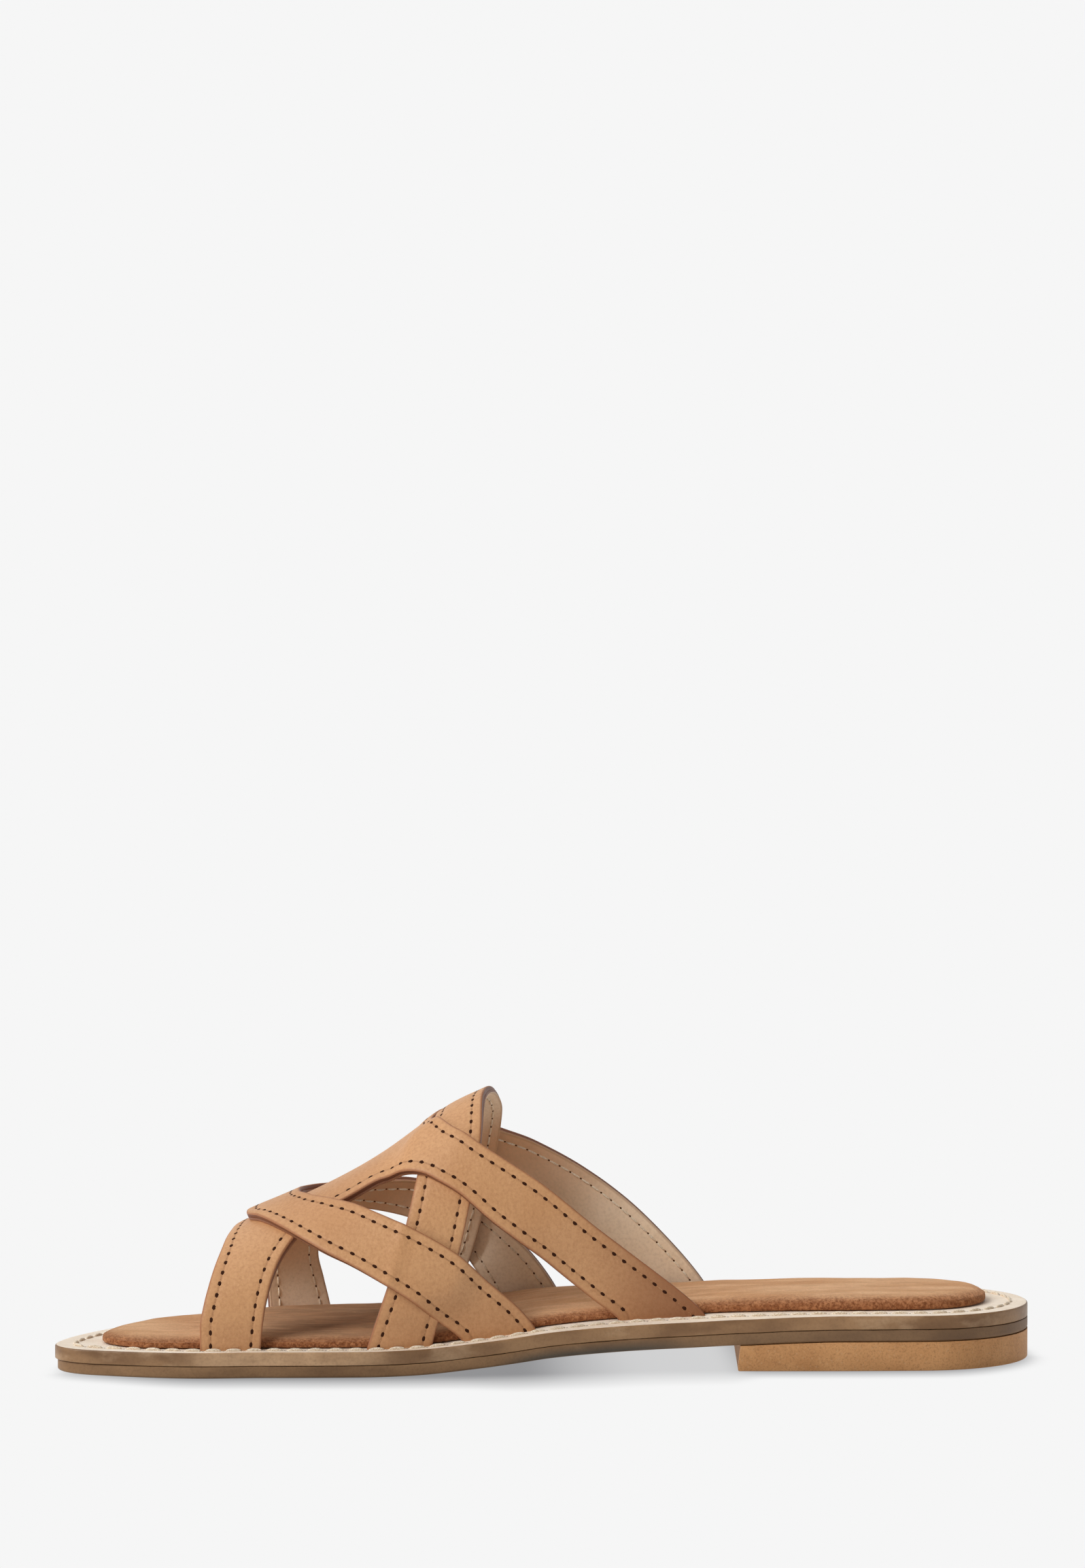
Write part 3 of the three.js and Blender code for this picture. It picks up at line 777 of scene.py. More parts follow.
finish_strap = strap_leather()
finish_edge = cut_edge()
finish_lining = lining_leather()
finish_strap_thread = thread("strap_thread", linear(150, 102, 62), linear(196, 148, 104))
finish_lining_thread = thread("lining_thread", linear(222, 200, 170), linear(244, 230, 208))
finish_rim_thread = thread("rim_thread", linear(206, 184, 156), linear(244, 230, 208))
finish_hole_shade = needle_hole("needle_hole", linear(44, 22, 12), linear(66, 36, 21))
finish_lining_hole_shade = needle_hole("lining_hole", linear(84, 58, 38), linear(110, 80, 54))
finish_board = board_leather()
finish_outsole = outsole_finish()
finish_heel = heel_finish()
finish_suede = suede_finish()
print(len(bpy.data.materials), "materials")

# %% [markdown]
# ## Soles
# The outsole and the board are cut to one outline and glued, and their edges are trimmed
# together and waxed brown. The joint still shows as a fine dark line that opens and closes.
# The board is thick vegetable-tanned leather, so its top stays pale.


# %% Soft numbers
def wander(x, seed, feature):
    return np.array([noise.noise(Vector((value / feature, seed, 0.0))) for value in np.ravel(x)])


def arc_steps(count):
    turn = np.linspace(0, np.pi / 2, count)
    return list(zip(1 - np.sin(turn), 1 - np.cos(turn)))


def over(lift):
    return lambda x, y: seat(x, y) + lift


def plain_edge(inset):
    return lambda angle, side: sole_edge(angle, side, np.full(len(angle), inset))


# %% Outsole
sole_edge_round = 0.7
outsole_toe_round = 2.4
outsole_toe_inset = 0.7
outsole_toe_length = 40.0
joint_gap = 0.08


def outsole_edge(rounding, extra=0.0):
    def edge(angle, side):
        along = along_at_angle(angle)
        near_toe = 1 - ramp(0, outsole_toe_length / length, along)
        inset = outsole_toe_inset + rounding * (outsole_toe_round - outsole_toe_inset)
        rounded = rounding * sole_edge_round * (1 - near_toe) + inset * near_toe
        return sole_edge(angle, side, rounded + extra)
    return edge


def joint(x):
    return 0.10 * wander(x, 1.0, 9.0) + 0.06 * wander(x, 2.0, 2.4)


def outsole_top(lift):
    def height(x, y):
        rise = np.reshape(joint(x), x.shape)
        return seat(x, y) + outsole_thickness + clearance / 2 - joint_gap + rise + lift
    return height


outsole_sheets = [sheet(outsole_edge(1, 1.5), over(0))]
outsole_sheets += [sheet(outsole_edge(inset), over(rise * sole_edge_round))
                   for inset, rise in arc_steps(6)]
outsole_sheets.append(sheet(outsole_edge(0), outsole_top(-0.12)))
outsole_sheets.append(sheet(outsole_edge(0, 0.12), outsole_top(0)))
points, faces, kinds = slab(outsole_sheets, [0] * (len(outsole_sheets) + 1))
from_ground = points[:, 2] - seat(points[:, 0], points[:, 1])
# Each mark runs between places along the shoe, in mm from its middle.
# Painted shade: dark grey on the undercut lower side at the waist.
waist_shade = ramp(-18, -2, points[:, 0]) * (1 - ramp(22, 48, points[:, 0]))
waist_shade = waist_shade * (1 - ramp(1.4, 3.2, from_ground))
under = 1 - ramp(0.0, 0.3, from_ground)
waxed = ramp(15, 55, points[:, 0])
outsole = add_mesh("outsole_leather", points, faces, kinds, [finish_outsole],
                   {"waist_shade": waist_shade, "under": under, "waxed": waxed})
outsole.data.set_sharp_from_angle(angle=math.radians(35))
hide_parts("outsole")

# %% Board
edge_bevel = 0.5
board_sheets = [
    (0.14, board_bottom - clearance / 2 + joint_gap, 0.0),
    (0.00, board_bottom - clearance / 2 + joint_gap + 0.14, 0.0),
    (0.00, board_top - edge_bevel, 0.0),
]
board_sheets += [(rise * edge_bevel, board_top - inset * edge_bevel, rise)
                 for inset, rise in arc_steps(6)[1:]]
board_sheets.append((1.6, board_top, 1.0))
sheets = [sheet(plain_edge(inset), over(lift)) for inset, lift, _ in board_sheets]
points, faces, kinds = slab(sheets, [0] * (len(sheets) + 1))
height = points[:, 2] - seat(points[:, 0], points[:, 1])
rim = ramp(board_top - 0.25 * edge_bevel, board_top, height)
# The edge is paler in patches over the forefoot.
paler_patch = ramp(-100, -84, points[:, 0]) * (1 - ramp(-62, -34, points[:, 0]))
board = add_mesh("board_leather", points, faces, kinds, [finish_board],
                 {"rim": rim, "paler_patch": paler_patch})
board.data.set_sharp_from_angle(angle=math.radians(35))
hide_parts("midsole")

# %% Heel block
def angle_at(along):
    return np.arccos(1 - 2 * along)


def heel_sheet(inset, height, share, back=0.0):
    inner = heel_breast_inner + share * heel_inner_lean + back / length
    outer = heel_breast_outer + share * heel_outer_lean + back / length
    return sheet(plain_edge(inset), height, [angle_at(inner), angle_at(outer)])


heel_sheets = [heel_sheet(1.6, lambda x, y: 0 * x, 1, 1.0)]
heel_sheets += [heel_sheet(inset * 0.35, lambda x, y, lift=rise * 0.35: 0 * x + lift,
                           1, inset * 0.5) for inset, rise in arc_steps(5)]
heel_sheets.append(heel_sheet(0, over(-0.12), 0))
points, faces, kinds = slab(heel_sheets, [0] * (len(heel_sheets) + 1))
heel = add_mesh("heel_stack", points, faces, kinds, [finish_heel])
heel.data.set_sharp_from_angle(angle=math.radians(35))
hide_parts("heel")

# %% [markdown]
# ## Footbed
# A thin foam pad is wrapped in suede, whose edge is turned under and pressed down, so its
# side is round and its top is nearly flat. The top's nap is darker under the straps: painted
# shade. The pad's shape is given, because foam as thin as this keeps the form that it is cut to.


# %% Suede pad
def pad_height(share):
    def height(x, y):
        along = along_at(x)
        flat = np.stack([np.ravel(x), np.ravel(y)], -1)
        relief = np.array([noise.noise(Vector((px / 26, py / 9, 5.0))) * 0.30
                           + noise.noise(Vector((px / 9, py / 5, 8.0))) * 0.12 for px, py in flat])
        relief = np.reshape(relief, np.shape(x)) * ramp(0.3, 1.0, share)
        thick = footbed_thickness * pillow_track(along)
        return seat(x, y) + board_top + clearance + share * thick + relief - 0.30 * (share > 0.5)
    return height


turn = np.linspace(0, np.pi / 2, 9)
pad_profile = [(0.05, 0.0), (0.0, 0.12), (0.0, 0.30)]
pad_profile += [(1 - math.cos(t), 0.30 + 0.70 * math.sin(t) ** 0.8) for t in turn[1:]]


def pad_edge(inward):
    return lambda angle, side: footbed_edge(angle, side, inward * footbed_round_over)


pad_sheets = [sheet(pad_edge(inward), pad_height(share)) for inward, share in pad_profile]
points, faces, kinds = slab(pad_sheets, [0] * (len(pad_sheets) + 1))
height = points[:, 2] - seat(points[:, 0], points[:, 1]) - board_top - clearance
side = 1 - ramp(0.55, 0.98, height / (footbed_thickness * pillow_track(along_at(points[:, 0]))))
# Painted shade: the top is darker under the straps.
strap_shade = ramp(-88, -70, points[:, 0]) * (1 - ramp(-25, 10, points[:, 0])) * (1 - side)
footbed = add_mesh("suede_footbed", points, faces, kinds, [finish_suede],
                   {"side": side, "strap_shade": strap_shade})
footbed.data.set_sharp_from_angle(angle=math.radians(60))
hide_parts("footbed")

# %% [markdown]
# ## Straps
# The upper is three pieces of lined leather: a rear hoop, a crossed piece over it, and a
# front hoop over both. The crossed piece is cut in one, with two front arms, a panel on the
# ridge and two rear arms, so that an arched notch lies on each side. Each piece is drawn as
# a closed outline on the last. Loops that follow the outline inwards carry the rounded
# edge and the groove that the sewing pulls into the leather.


# %% Outlines on the last
spacing = 0.62
base_end = 1 + buried


def hoop(rows):
    return {"fore": track(rows, "fore"), "aft": track(rows, "aft")}


hoops = {
    "front_arm": hoop(front_arm),
    "rear_arm": hoop(rear_arm),
    "front_hoop": hoop(front_hoop),
    "rear_hoop": hoop(rear_hoop),
}


def on_last(where):
    return last_point(where[:, 0], where[:, 1])


def evenly(where, pitch, ends=(0.0, 0.0)):
    steps = np.linalg.norm(np.diff(on_last(where), axis=0), axis=1)
    run = np.concatenate([[0], np.cumsum(steps)])
    usable = run[-1] - sum(ends)
    count = max(1, int(round(usable / pitch)))
    at = ends[0] + usable * np.arange(count + 1) / count
    return np.stack([np.interp(at, run, where[:, 0]), np.interp(at, run, where[:, 1])], -1)


def along_edge(edge, start, stop):
    round_ = np.linspace(start, stop, 900)
    return evenly(np.stack([edge(round_), round_], -1), spacing)


def across_end(start, stop, round_):
    along = np.linspace(start, stop, 200)
    return evenly(np.stack([along, np.full(200, round_)], -1), spacing)


def closed(runs):
    return np.concatenate([run[:-1] for run in runs])


def is_free(outline):
    beside = np.roll(outline, -1, 0)
    return ~((np.abs(outline[:, 1]) > base_end - 1e-4) & (np.abs(beside[:, 1]) > base_end - 1e-4))


def band_outline(fore, aft):
    return closed([
        along_edge(fore, -base_end, base_end),
        across_end(fore(base_end), aft(base_end), base_end),
        along_edge(aft, base_end, -base_end),
        across_end(aft(-base_end), fore(-base_end), -base_end),
    ])


def crossed_outline():
    front, rear = hoops["front_arm"], hoops["rear_arm"]
    return closed([
        along_edge(front["fore"], -base_end, base_end),
        across_end(front["fore"](base_end), front["aft"](base_end), base_end),
        along_edge(front["aft"], base_end, notch_end),
        across_end(front["aft"](notch_end), rear["fore"](notch_end), notch_end),
        along_edge(rear["fore"], notch_end, base_end),
        across_end(rear["fore"](base_end), rear["aft"](base_end), base_end),
        along_edge(rear["aft"], base_end, -base_end),
        across_end(rear["aft"](-base_end), rear["fore"](-base_end), -base_end),
        along_edge(rear["fore"], -base_end, -notch_end),
        across_end(rear["fore"](-notch_end), front["aft"](-notch_end), -notch_end),
        along_edge(front["aft"], -notch_end, -base_end),
        across_end(front["aft"](-base_end), front["fore"](-base_end), -base_end),
    ])


def softened(outline, near, passes):
    for _ in range(passes):
        mean = (np.roll(outline, 1, 0) + np.roll(outline, -1, 0)) / 2
        outline = outline + near[:, None] * (mean - outline) * 0.9
    return outline


# %% Steps across the leather
def slopes(where):
    step = 0.0008
    along, round_ = where[:, 0], where[:, 1]
    ahead = (last_point(along + step, round_) - last_point(along - step, round_)) / (2 * step)
    across = (last_point(along, round_ + step) - last_point(along, round_ - step)) / (2 * step)
    return ahead, across


def step_by(where, move):
    ahead, across = slopes(where)
    aa = (ahead * ahead).sum(1)
    ac = (ahead * across).sum(1)
    cc = (across * across).sum(1)
    am = (ahead * move).sum(1)
    cm = (across * move).sum(1)
    scale = aa * cc - ac * ac
    return where + np.stack([(cc * am - ac * cm) / scale, (aa * cm - ac * am) / scale], -1)


def inward_of(outline):
    at = on_last(outline)
    ahead = np.roll(at, -1, 0) - np.roll(at, 1, 0)
    normal = last_normal(outline[:, 0], outline[:, 1])
    inward = np.cross(ahead, normal)
    return inward / np.linalg.norm(inward, axis=1, keepdims=True)


def moved_in(where, inward, depth):
    steps = max(1, int(math.ceil(depth / 0.6)))
    for _ in range(steps):
        normal = last_normal(where[:, 0], where[:, 1])
        flat = inward - normal * (inward * normal).sum(1, keepdims=True)
        flat /= np.linalg.norm(flat, axis=1, keepdims=True)
        where = step_by(where, flat * depth / steps)
    return where


def edge_distance(where, outline):
    here, loop = on_last(where), on_last(outline)
    run = np.roll(loop, -1, 0) - loop
    free = is_free(outline)
    loop, run = loop[free], run[free]
    size = (run * run).sum(1)
    nearest = np.empty(len(here))
    for start in range(0, len(here), 400):
        offset = here[start:start + 400, None] - loop[None]
        share = np.clip((offset * run).sum(2) / size, 0, 1)
        gap = offset - share[..., None] * run
        nearest[start:start + 400] = np.sqrt((gap * gap).sum(2).min(1))
    return nearest


def inside(where, outline):
    x, y = where[:, 0, None], where[:, 1, None]
    x0, y0 = outline[:, 0], outline[:, 1]
    x1, y1 = np.roll(x0, -1), np.roll(y0, -1)
    crosses = (y0 > y) != (y1 > y)
    rise = np.where(y1 == y0, 1e-12, y1 - y0)
    return (crosses & (x < x0 + (y - y0) * (x1 - x0) / rise)).sum(1) % 2 == 1


# %% Strap pieces
seam_height = 0.9
seam_half = 0.14
seam_depth = 0.13
outer_round = 0.36
inner_round = 0.25


def outer_height(edge):
    held = np.minimum(edge, outer_round)
    rounded = np.sqrt(np.maximum(0, outer_round ** 2 - (outer_round - held) ** 2)) - outer_round
    groove = 0.14 * np.exp(-((edge - seam_row) / 0.36) ** 2)
    return strap_thickness + rounded - groove + 0.05 * ramp(0.5, 1.4, edge)


def inner_height(edge):
    held = np.minimum(edge, inner_round)
    rounded = inner_round - np.sqrt(np.maximum(0, inner_round ** 2 - (inner_round - held) ** 2))
    return rounded + 0.08 * np.exp(-((edge - seam_row) / 0.5) ** 2)


def strap_piece(name, outline, layer):
    inward = inward_of(outline)
    free = is_free(outline)
    loops = [outline]
    for depth in (0.06, 0.18, 0.36, 1.1, 1.8, 2.3, 2.7, 3.1, 3.6, 4.3):
        loop = moved_in(outline[free], inward[free], depth)
        loop = loop[inside(loop, outline)]
        loops.append(loop[edge_distance(loop, outline) > depth * 0.93])
    along = np.arange(outline[:, 0].min(), outline[:, 0].max(), 1.5 / length)
    round_ = np.arange(-base_end, base_end, 0.019)
    grid = np.stack(np.meshgrid(along, round_, indexing="ij"), -1).reshape(-1, 2)
    grid = grid[inside(grid, outline)]
    grid = grid[edge_distance(grid, outline) > 4.9]
    where = np.concatenate(loops + [grid])
    plane = [Vector((a * length, r * 75.0)) for a, r in where]
    corners, _, triangles, sources, _, _ = delaunay_2d_cdt(
        plane, [], [list(range(len(outline)))], 1, 1e-5)
    source = np.array([entry[0] for entry in sources])
    where = where[source]
    place = np.empty(len(outline), int)
    for index, entry in enumerate(sources):
        for first in entry:
            if first < len(outline):
                place[first] = index

    edge = edge_distance(where, outline)
    base = on_last(where)
    normal = last_normal(where[:, 0], where[:, 1])
    lift = layer(where[:, 0], where[:, 1])
    count = len(where)
    outer = base + normal * (lift + outer_height(edge))[:, None]
    inner = base + normal * (lift + inner_height(edge))[:, None]
    points = [outer, inner]
    depths = [np.ones(count), np.zeros(count)]
    edges = [edge, edge]
    # Painted shade: the leather is darker towards the sole, most at the rear arms' bases.
    rear_base_shade = ramp(0.50, 0.66, where[:, 0]) * ramp(0.55, 0.95, np.abs(where[:, 1]))
    base_shade = np.maximum(rear_base_shade, 0.2 * ramp(0.80, 1.0, np.abs(where[:, 1])))
    base_shades = [base_shade, base_shade]
    # Painted light: the lining is paler towards the lower ends of the straps and round the tab.
    tab = ramp(0.40, 0.44, where[:, 0]) * (1 - ramp(0.30, 0.55, np.abs(where[:, 1])))
    low = ramp(0.55, 0.95, np.abs(where[:, 1])) + tab
    faces = [list(face) for face in triangles]
    kinds = [0] * len(faces)
    faces += [[corner + count for corner in reversed(face)] for face in triangles]
    kinds += [2] * len(triangles)

    below_round = strap_thickness - outer_round - 0.35
    levels = [below_round, seam_height + seam_half, seam_height, seam_height - seam_half]
    insets = [0.0, 0.0, seam_depth, 0.0]
    rings = [place]
    rim_base, rim_normal, rim_lift = base[place], normal[place], lift[place]
    for number, (level, inset) in enumerate(zip(levels, insets)):
        points.append(rim_base + rim_normal * (rim_lift + level)[:, None] + inward * inset)
        depths.append(np.full(len(place), level / strap_thickness))
        edges.append(np.zeros(len(place)))
        base_shades.append(base_shade[place])
        rings.append(2 * count + number * len(place) + np.arange(len(place)))
    rings.append(place + count)
    for upper_ring, lower_ring in zip(rings, rings[1:]):
        for here in range(len(place)):
            there = (here + 1) % len(place)
            faces.append([upper_ring[here], lower_ring[here], lower_ring[there], upper_ring[there]])
            kinds.append(1)
    piece = add_mesh(name, np.concatenate(points), faces, kinds,
                     [finish_strap, finish_edge, finish_lining],
                     {"edge": np.concatenate(edges), "depth": np.concatenate(depths),
                      "base_shade": np.concatenate(base_shades),
                      "low": np.concatenate([low, low] + [low[place]] * len(levels))})
    piece.data.set_sharp_from_angle(angle=math.radians(50))
    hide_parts("upper")
    return piece


# %% Layers
over_layer = strap_thickness + 0.03


def on_the_last(along, round_):
    return 0 * along


def crossed_layer(along, round_):
    beside = along - hoops["rear_hoop"]["fore"](round_)
    climb = ramp(-0.040, -0.006, beside) * ramp(0.06, 0.24, np.abs(round_ - 0.05))
    return over_layer * climb * (1 - ramp(0.74, 0.92, np.abs(round_)))


def front_layer(along, round_):
    beside = along - hoops["rear_hoop"]["aft"](round_)
    hidden_edge = (along - hoops["rear_hoop"]["fore"](round_)) / 0.007
    inner_side = ramp(0.45, 0.60, -round_) * (1 - ramp(0.82, 0.92, -round_))
    crease = 0.40 * np.exp(-hidden_edge ** 2) * inner_side
    fall = (1 - ramp(-0.002, 0.043, beside)) * (1 - ramp(0.87, 0.96, np.abs(round_)))
    return crease + over_layer * fall


# %% Cut the straps
crossed = crossed_outline()
corners = [(hoops[name][edge](side * notch_end), side * notch_end)
           for side in (-1, 1) for name, edge in (("front_arm", "aft"), ("rear_arm", "fore"))]
corner_reach = np.array([9.0, 5.0, 9.0, 5.0])
# The inner window's front corner is a wide arc, so the crossed piece is pared a little
# around this place on the last. The paring and its reach are in mm.
arc_middle = np.array([[0.3326, -0.324]])
arc_paring = 1.8
arc_reach = 9.0


def corner_weight(run):
    gap = np.linalg.norm(on_last(run)[:, None] - on_last(np.array(corners))[None], axis=2)
    return (1 - ramp(0.4, 1.0, gap / corner_reach)).max(1)


def pared(run, inward):
    gap = np.linalg.norm(on_last(run) - on_last(arc_middle), axis=1)
    depth = arc_paring * (1 - ramp(0.0, arc_reach, gap))
    return step_by(run, inward * depth[:, None])


crossed = softened(crossed, corner_weight(crossed), 80)
crossed = pared(crossed, inward_of(crossed))
rear_band = band_outline(hoops["rear_hoop"]["fore"], hoops["rear_hoop"]["aft"])
front_band = band_outline(hoops["front_hoop"]["fore"], hoops["front_hoop"]["aft"])
strap_piece("rear_hoop", rear_band, on_the_last)
strap_piece("crossed_piece", crossed, crossed_layer)
strap_piece("front_hoop", front_band, front_layer)

# %% [markdown]
# ## Sewing
# Each strap is sewn to its lining with two rows of lockstitch, at 3.4 mm to the stitch. The
# needle leaves an oval hole, and the thread dips into it and comes up again. On the lining
# side the thread lies as pale dashes. The footbed's rim has a coarser decorative row of
# thick pale thread, which stands up from the leather like a row of beads.


# %% Thread and hole meshes
def tube(path, radii, sides=6):
    path = np.asarray(path)
    ahead = np.gradient(path, axis=0)
    ahead /= np.linalg.norm(ahead, axis=1, keepdims=True)
    up = np.cross(ahead, np.cross([0.31, 0.22, 0.92], ahead))
    up /= np.linalg.norm(up, axis=1, keepdims=True)
    across = np.cross(ahead, up)
    turn = np.linspace(0, 2 * np.pi, sides, endpoint=False)
    spokes = (np.cos(turn)[None, :, None] * up[:, None]
              + np.sin(turn)[None, :, None] * across[:, None])
    rings = path[:, None] + np.reshape(radii, (-1, 1, 1)) * spokes
    points = rings.reshape(-1, 3)
    faces = []
    for i in range(len(path) - 1):
        for j in range(sides):
            k = (j + 1) % sides
            faces.append([i * sides + j, i * sides + k, (i + 1) * sides + k, (i + 1) * sides + j])
    faces.append(list(reversed(range(sides))))
    faces.append([(len(path) - 1) * sides + j for j in range(sides)])
    return points, faces


def bead(centre, ahead, across, up, sizes, rings=4, sides=8):
    points = [centre - up * sizes[2]]
    for i in range(1, rings):
        tilt = -np.pi / 2 + np.pi * i / rings
        for j in range(sides):
            turn = 2 * np.pi * j / sides
            points.append(centre + ahead * (sizes[0] * math.cos(tilt) * math.cos(turn))
                          + across * (sizes[1] * math.cos(tilt) * math.sin(turn))
                          + up * (sizes[2] * math.sin(tilt)))
    points.append(centre + up * sizes[2])
    faces = []
    for j in range(sides):
        k = (j + 1) % sides
        faces.append([0, 1 + k, 1 + j])
        for i in range(rings - 2):
            low, high = 1 + i * sides, 1 + (i + 1) * sides
            faces.append([low + j, low + k, high + k, high + j])
        faces.append([1 + (rings - 2) * sides + j, 1 + (rings - 2) * sides + k, len(points) - 1])
    return np.array(points), faces


def joined(name, parts, finish):
    points, faces, start = [], [], 0
    for part_points, part_faces in parts:
        points.append(part_points)
        faces += [[corner + start for corner in face] for face in part_faces]
        start += len(part_points)
    piece = add_mesh(name, np.concatenate(points), faces, [0] * len(faces), [finish])
    return piece


# %% Sewing rows on the straps
stitch_pitch = 3.4


def surface_at(where, layer, height):
    normal = last_normal(where[:, 0], where[:, 1])
    lift = layer(where[:, 0], where[:, 1]) + height
    return on_last(where) + normal * lift[:, None], normal


def inward_beside(run):
    ahead = np.gradient(on_last(run), axis=0)
    inward = np.cross(ahead, last_normal(run[:, 0], run[:, 1]))
    return inward / np.linalg.norm(inward, axis=1, keepdims=True)


def sewing_row(edge_run, layer):
    row = moved_in(edge_run, inward_beside(edge_run), seam_row)
    spots, _ = surface_at(row, layer, strap_thickness)
    run = np.concatenate([[0], np.cumsum(np.linalg.norm(np.diff(spots, axis=0), axis=1))])
    count = int(round((run[-1] - 2.4) / stitch_pitch))
    at = np.linspace(1.2, run[-1] - 1.2, count + 1)
    return np.stack([np.interp(at, run, row[:, 0]), np.interp(at, run, row[:, 1])], -1)


def between(first, second, share):
    return first + (second - first) * share


def sew(row, layer, threads, holes, lining_threads, lining_holes):
    outer = float(outer_height(np.array([seam_row]))[0])
    inner = float(inner_height(np.array([seam_row]))[0])
    spots, normals = surface_at(row, layer, outer)
    ahead = np.gradient(spots, axis=0)
    ahead /= np.linalg.norm(ahead, axis=1, keepdims=True)
    for spot, normal, run in zip(spots, normals, ahead):
        across = np.cross(normal, run)
        # Painted shade: a dark bead in each needle hole.
        holes.append(bead(spot - normal * 0.12, run, across, normal, (0.90, 0.80, 0.28)))
    steps = np.linspace(0.04, 0.96, 9)
    swell = np.sin(np.pi * (steps - 0.04) / 0.92)
    for i in range(len(row) - 1):
        where = between(row[i], row[i + 1], steps[:, None])
        path, normal = surface_at(where, layer, outer)
        path = path + normal * (0.15 * swell[:, None] ** 0.6 - 0.20)
        threads.append(tube(path, 0.10 + 0.03 * swell ** 0.5))
        where = between(row[i], row[i + 1], np.linspace(0.10, 0.90, 6)[:, None])
        path, normal = surface_at(where, layer, inner)
        rise = np.sin(np.pi * np.linspace(0.0, 1.0, 6))[:, None] ** 0.6
        centre, up = surface_at(row[i:i + 1], layer, inner)
        run = (path[1] - path[0]) / np.linalg.norm(path[1] - path[0])
        # Painted shade: a dark bead in each hole on the lining side.
        lining_holes.append(bead(centre[0], run, np.cross(up[0], run), up[0], (0.34, 0.28, 0.14)))
        lining_threads.append(tube(path - normal * (0.26 * rise - 0.10), 0.16 + 0.12 * rise[:, 0]))


def notch_run(side):
    front, rear = hoops["front_arm"]["aft"], hoops["rear_arm"]["fore"]
    low, high = side * 0.999, side * notch_end
    run = np.concatenate([along_edge(front, low, high)[:-1],
                          across_end(front(high), rear(high), high)[:-1],
                          along_edge(rear, high, low)])
    near = corner_weight(run)
    near[:3] = near[-3:] = 0
    run = softened(run, near, 80)
    run = run if side > 0 else run[::-1]
    return pared(run, inward_beside(run))


threads, holes, lining_threads, lining_holes = [], [], [], []
rows = [
    (along_edge(hoops["rear_hoop"]["fore"], -0.999, 0.999), on_the_last),
    (along_edge(hoops["rear_hoop"]["aft"], 0.999, -0.999), on_the_last),
    (along_edge(hoops["front_hoop"]["fore"], -0.999, 0.999), front_layer),
    (along_edge(hoops["front_hoop"]["aft"], 0.999, -0.999), front_layer),
    (along_edge(hoops["front_arm"]["fore"], -0.999, 0.999), crossed_layer),
    (along_edge(hoops["rear_arm"]["aft"], 0.999, -0.999), crossed_layer),
    (notch_run(1), crossed_layer),
    (notch_run(-1), crossed_layer),
]
for edge_run, layer in rows:
    sew(sewing_row(edge_run, layer), layer, threads, holes, lining_threads, lining_holes)
joined("strap_threads", threads, finish_strap_thread)
joined("needle_holes", holes, finish_hole_shade)
joined("lining_threads", lining_threads, finish_lining_thread)
joined("lining_holes", lining_holes, finish_lining_hole_shade)
print(len(holes), "needle holes")

# %% Sewing round the rim
rim_pitch = 5.3
rim_inset = table(
    "along inner outer",
    (0.00, 5.0, 5.0),
    (0.08, 4.2, 4.8),
    (0.16, 3.0, 4.6),
    (0.36, 3.0, 4.6),
    (0.46, 3.8, 4.8),
    (0.60, 4.7, 4.7),
    (1.00, 4.7, 4.7),
)
inner_inset = track(rim_inset, "inner")
outer_inset = track(rim_inset, "outer")


def rim_path(side):
    angle = np.linspace(0.02, np.pi - 0.02, 1600)
    along = along_at_angle(angle)
    inset = inner_inset(along) if side < 0 else outer_inset(along)
    flat = sole_edge(angle, side, inset)
    keep = side * (flat[:, 1] - centre_at(along_at(flat[:, 0]))) > 0
    return flat[keep]


def flat_evenly(path, pitch):
    run = np.concatenate([[0], np.cumsum(np.linalg.norm(np.diff(path, axis=0), axis=1))])
    count = int(round(run[-1] / pitch))
    at = np.linspace(0, run[-1], count * 10 + 1)
    return np.stack([np.interp(at, run, path[:, 0]), np.interp(at, run, path[:, 1])], -1), count


rim_loop = np.concatenate([rim_path(-1), rim_path(1)[::-1]])
rim_loop = np.concatenate([rim_loop, rim_loop[:1]])
fine, count = flat_evenly(rim_loop, rim_pitch)
beans, rim_holes = [], []
for i in range(count):
    piece = fine[i * 10 + 1:i * 10 + 10]
    rise = np.sin(np.pi * np.linspace(0, 1, len(piece)))
    level = seat(piece[:, 0], piece[:, 1]) + board_top
    path = np.column_stack([piece, level - 0.15 + 0.42 * rise ** 0.5])
    beans.append(tube(path, 0.20 + 0.26 * rise ** 0.5, 8))
    spot = fine[i * 10]
    ahead = fine[i * 10 + 1] - fine[i * 10]
    ahead = np.append(ahead / np.linalg.norm(ahead), 0.0)
    centre = np.array([*spot, float(seat(spot[0], spot[1])) + board_top - 0.05])
    # Painted shade: a dark bead at each hole in the rim.
    rim_holes.append(bead(centre, ahead, np.array([-ahead[1], ahead[0], 0.0]),
                          np.array([0.0, 0.0, 1.0]), (0.42, 0.34, 0.09)))
joined("rim_stitches", beans, finish_rim_thread)
joined("rim_holes", rim_holes, finish_hole_shade)
print(count, "rim stitches")

# %% [markdown]
# ## Studio
# In the studio the floor is pale and sweeps up behind the shoe without a line, and it is lit
# so evenly that only a soft shade stays close to the sole. Here the floor glows with one even
# tone, and that shade is painted on: it starts at the sole's own outline and fades to
# the front over the lengths in the table. Two very wide suns, one from the toe's side and one
# from above, and a backdrop that is brighter behind the shoe light the leather softly.


# %% Floor and lamps
backdrop = linear(246, 246, 246)
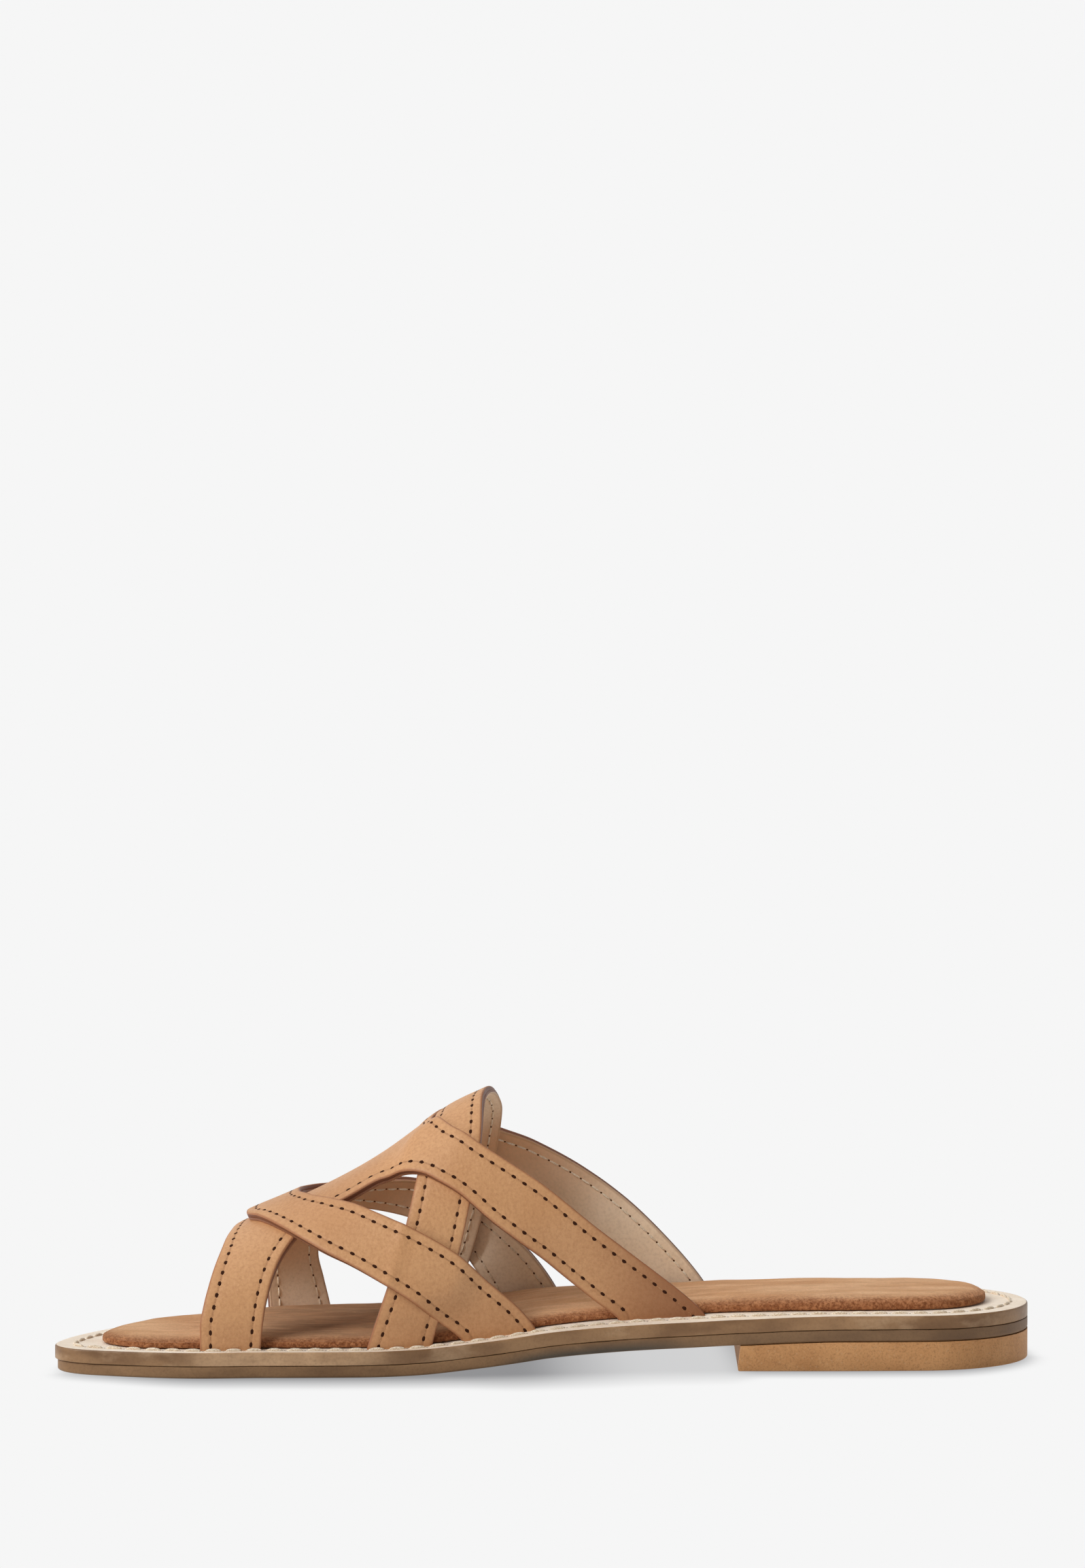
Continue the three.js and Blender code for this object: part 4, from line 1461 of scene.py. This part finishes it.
# How far the shade reaches in front of the soles, in mm, and how deep it is.
floor_shade = table(
    "along throw depth",
    (0.00, 10.0, 0.45),
    (0.06, 14.0, 0.70),
    (0.15, 20.0, 0.95),
    (0.40, 24.0, 1.00),
    (0.47, 30.0, 1.00),
    (0.53, 30.0, 0.70),
    (0.60, 27.0, 0.46),
    (0.68, 25.0, 0.44),
    (0.71, 14.0, 0.80),
    (0.90, 14.0, 0.85),
    (1.00, 10.0, 0.75),
)
shade_spread = 1.5
far_throw = 9.0


def contact_shade(points):
    angle = np.linspace(0, np.pi, 120)
    loop = np.concatenate([outsole_edge(0.5)(angle, -1), outsole_edge(0.5)(angle, 1)[::-1]])
    along = along_at(points[:, 0])
    throw = track(floor_shade, "throw")(along)
    depth = track(floor_shade, "depth")(along)
    shade = np.zeros(len(points))
    for share in np.linspace(0, 1, 33):
        for aside in (-shade_spread, 0.0, shade_spread):
            shifted = points + share * np.stack([np.full_like(throw, aside), throw], -1)
            shade = np.maximum(shade, inside(shifted, loop) * (1 - share))
        shifted = points - share * np.array([0.0, far_throw])
        shade = np.maximum(shade, 0.5 * inside(shifted, loop) * (1 - share))
    return shade * depth


def add_floor():
    x = np.concatenate([[-60000, -2000, -300], np.arange(-160, 161, 1.6), [300, 2000, 60000]])
    y = np.concatenate([[-60000, -2000, -200], np.arange(-90, 71, 1.6), [200, 2000, 60000]])
    points = np.stack(np.meshgrid(x, y, indexing="ij"), -1).reshape(-1, 2)
    rows, columns = len(x), len(y)
    shade = contact_shade(points).reshape(rows, columns)
    for axis in (0, 0, 0, 1, 1):
        shade = (np.roll(shade, 1, axis) + 2 * shade + np.roll(shade, -1, axis)) / 4
    corner = (np.arange(rows - 1)[:, None] * columns + np.arange(columns - 1)).ravel()
    faces = np.stack([corner, corner + columns, corner + columns + 1, corner + 1], -1)
    mesh = bpy.data.meshes.new("floor")
    places = np.column_stack([points, 0 * points[:, 0]]) * MM
    mesh.from_pydata(places.tolist(), [], faces.tolist())
    layer = mesh.attributes.new("shade", "FLOAT", "POINT")
    layer.data.foreach_set("value", shade.ravel().astype(np.float32))
    floor = bpy.data.objects.new("floor", mesh)
    bpy.context.scene.collection.objects.link(floor)
    finish = Finish("floor_paper", 1.0, 0.0)
    tone = finish.mix(finish.attribute("shade"), backdrop, linear(146, 146, 148))
    glow = finish.add("ShaderNodeEmission")
    finish.plug(tone, glow.inputs["Color"])
    finish.plug(glow.outputs["Emission"], finish.tree.nodes["Material Output"].inputs["Surface"])
    mesh.materials.append(finish.material)
    return floor


def add_sun(name, towards_light, softness, strength):
    data = bpy.data.lights.new(name, "SUN")
    data.angle = math.radians(softness)
    data.energy = strength
    lamp = bpy.data.objects.new(name, data)
    lamp.rotation_euler = Vector(towards_light).to_track_quat("Z", "Y").to_euler()
    bpy.context.scene.collection.objects.link(lamp)
    return lamp


def add_surroundings():
    world = bpy.data.worlds.new("world")
    world.use_nodes = True
    tree = world.node_tree
    background = tree.nodes["Background"]
    background.inputs["Color"].default_value = backdrop
    place = tree.nodes.new("ShaderNodeTexCoord")
    split = tree.nodes.new("ShaderNodeSeparateXYZ")
    tree.links.new(place.outputs["Generated"], split.inputs["Vector"])

    def fade(axis, low, high, start, stop):
        node = tree.nodes.new("ShaderNodeMapRange")
        node.interpolation_type = "SMOOTHSTEP"
        node.inputs["From Min"].default_value = low
        node.inputs["From Max"].default_value = high
        node.inputs["To Min"].default_value = start
        node.inputs["To Max"].default_value = stop
        tree.links.new(split.outputs[axis], node.inputs["Value"])
        return node.outputs["Result"]

    product = tree.nodes.new("ShaderNodeMath")
    product.operation = "MULTIPLY"
    tree.links.new(fade("Z", 0.15, 0.55, 1.0, 0.35), product.inputs[0])
    tree.links.new(fade("Y", -0.3, 0.4, 0.35, 1.0), product.inputs[1])
    tree.links.new(product.outputs["Value"], background.inputs["Strength"])
    bpy.context.scene.world = world


add_floor()
add_surroundings()
add_sun("key", (-1.0, -0.72, 0.95), 30, 2.05)
add_sun("top", (-0.2, 0.4, 1.0), 60, 0.85)
bpy.context.scene.view_settings.view_transform = "Standard"
bpy.context.scene.view_settings.look = "None"
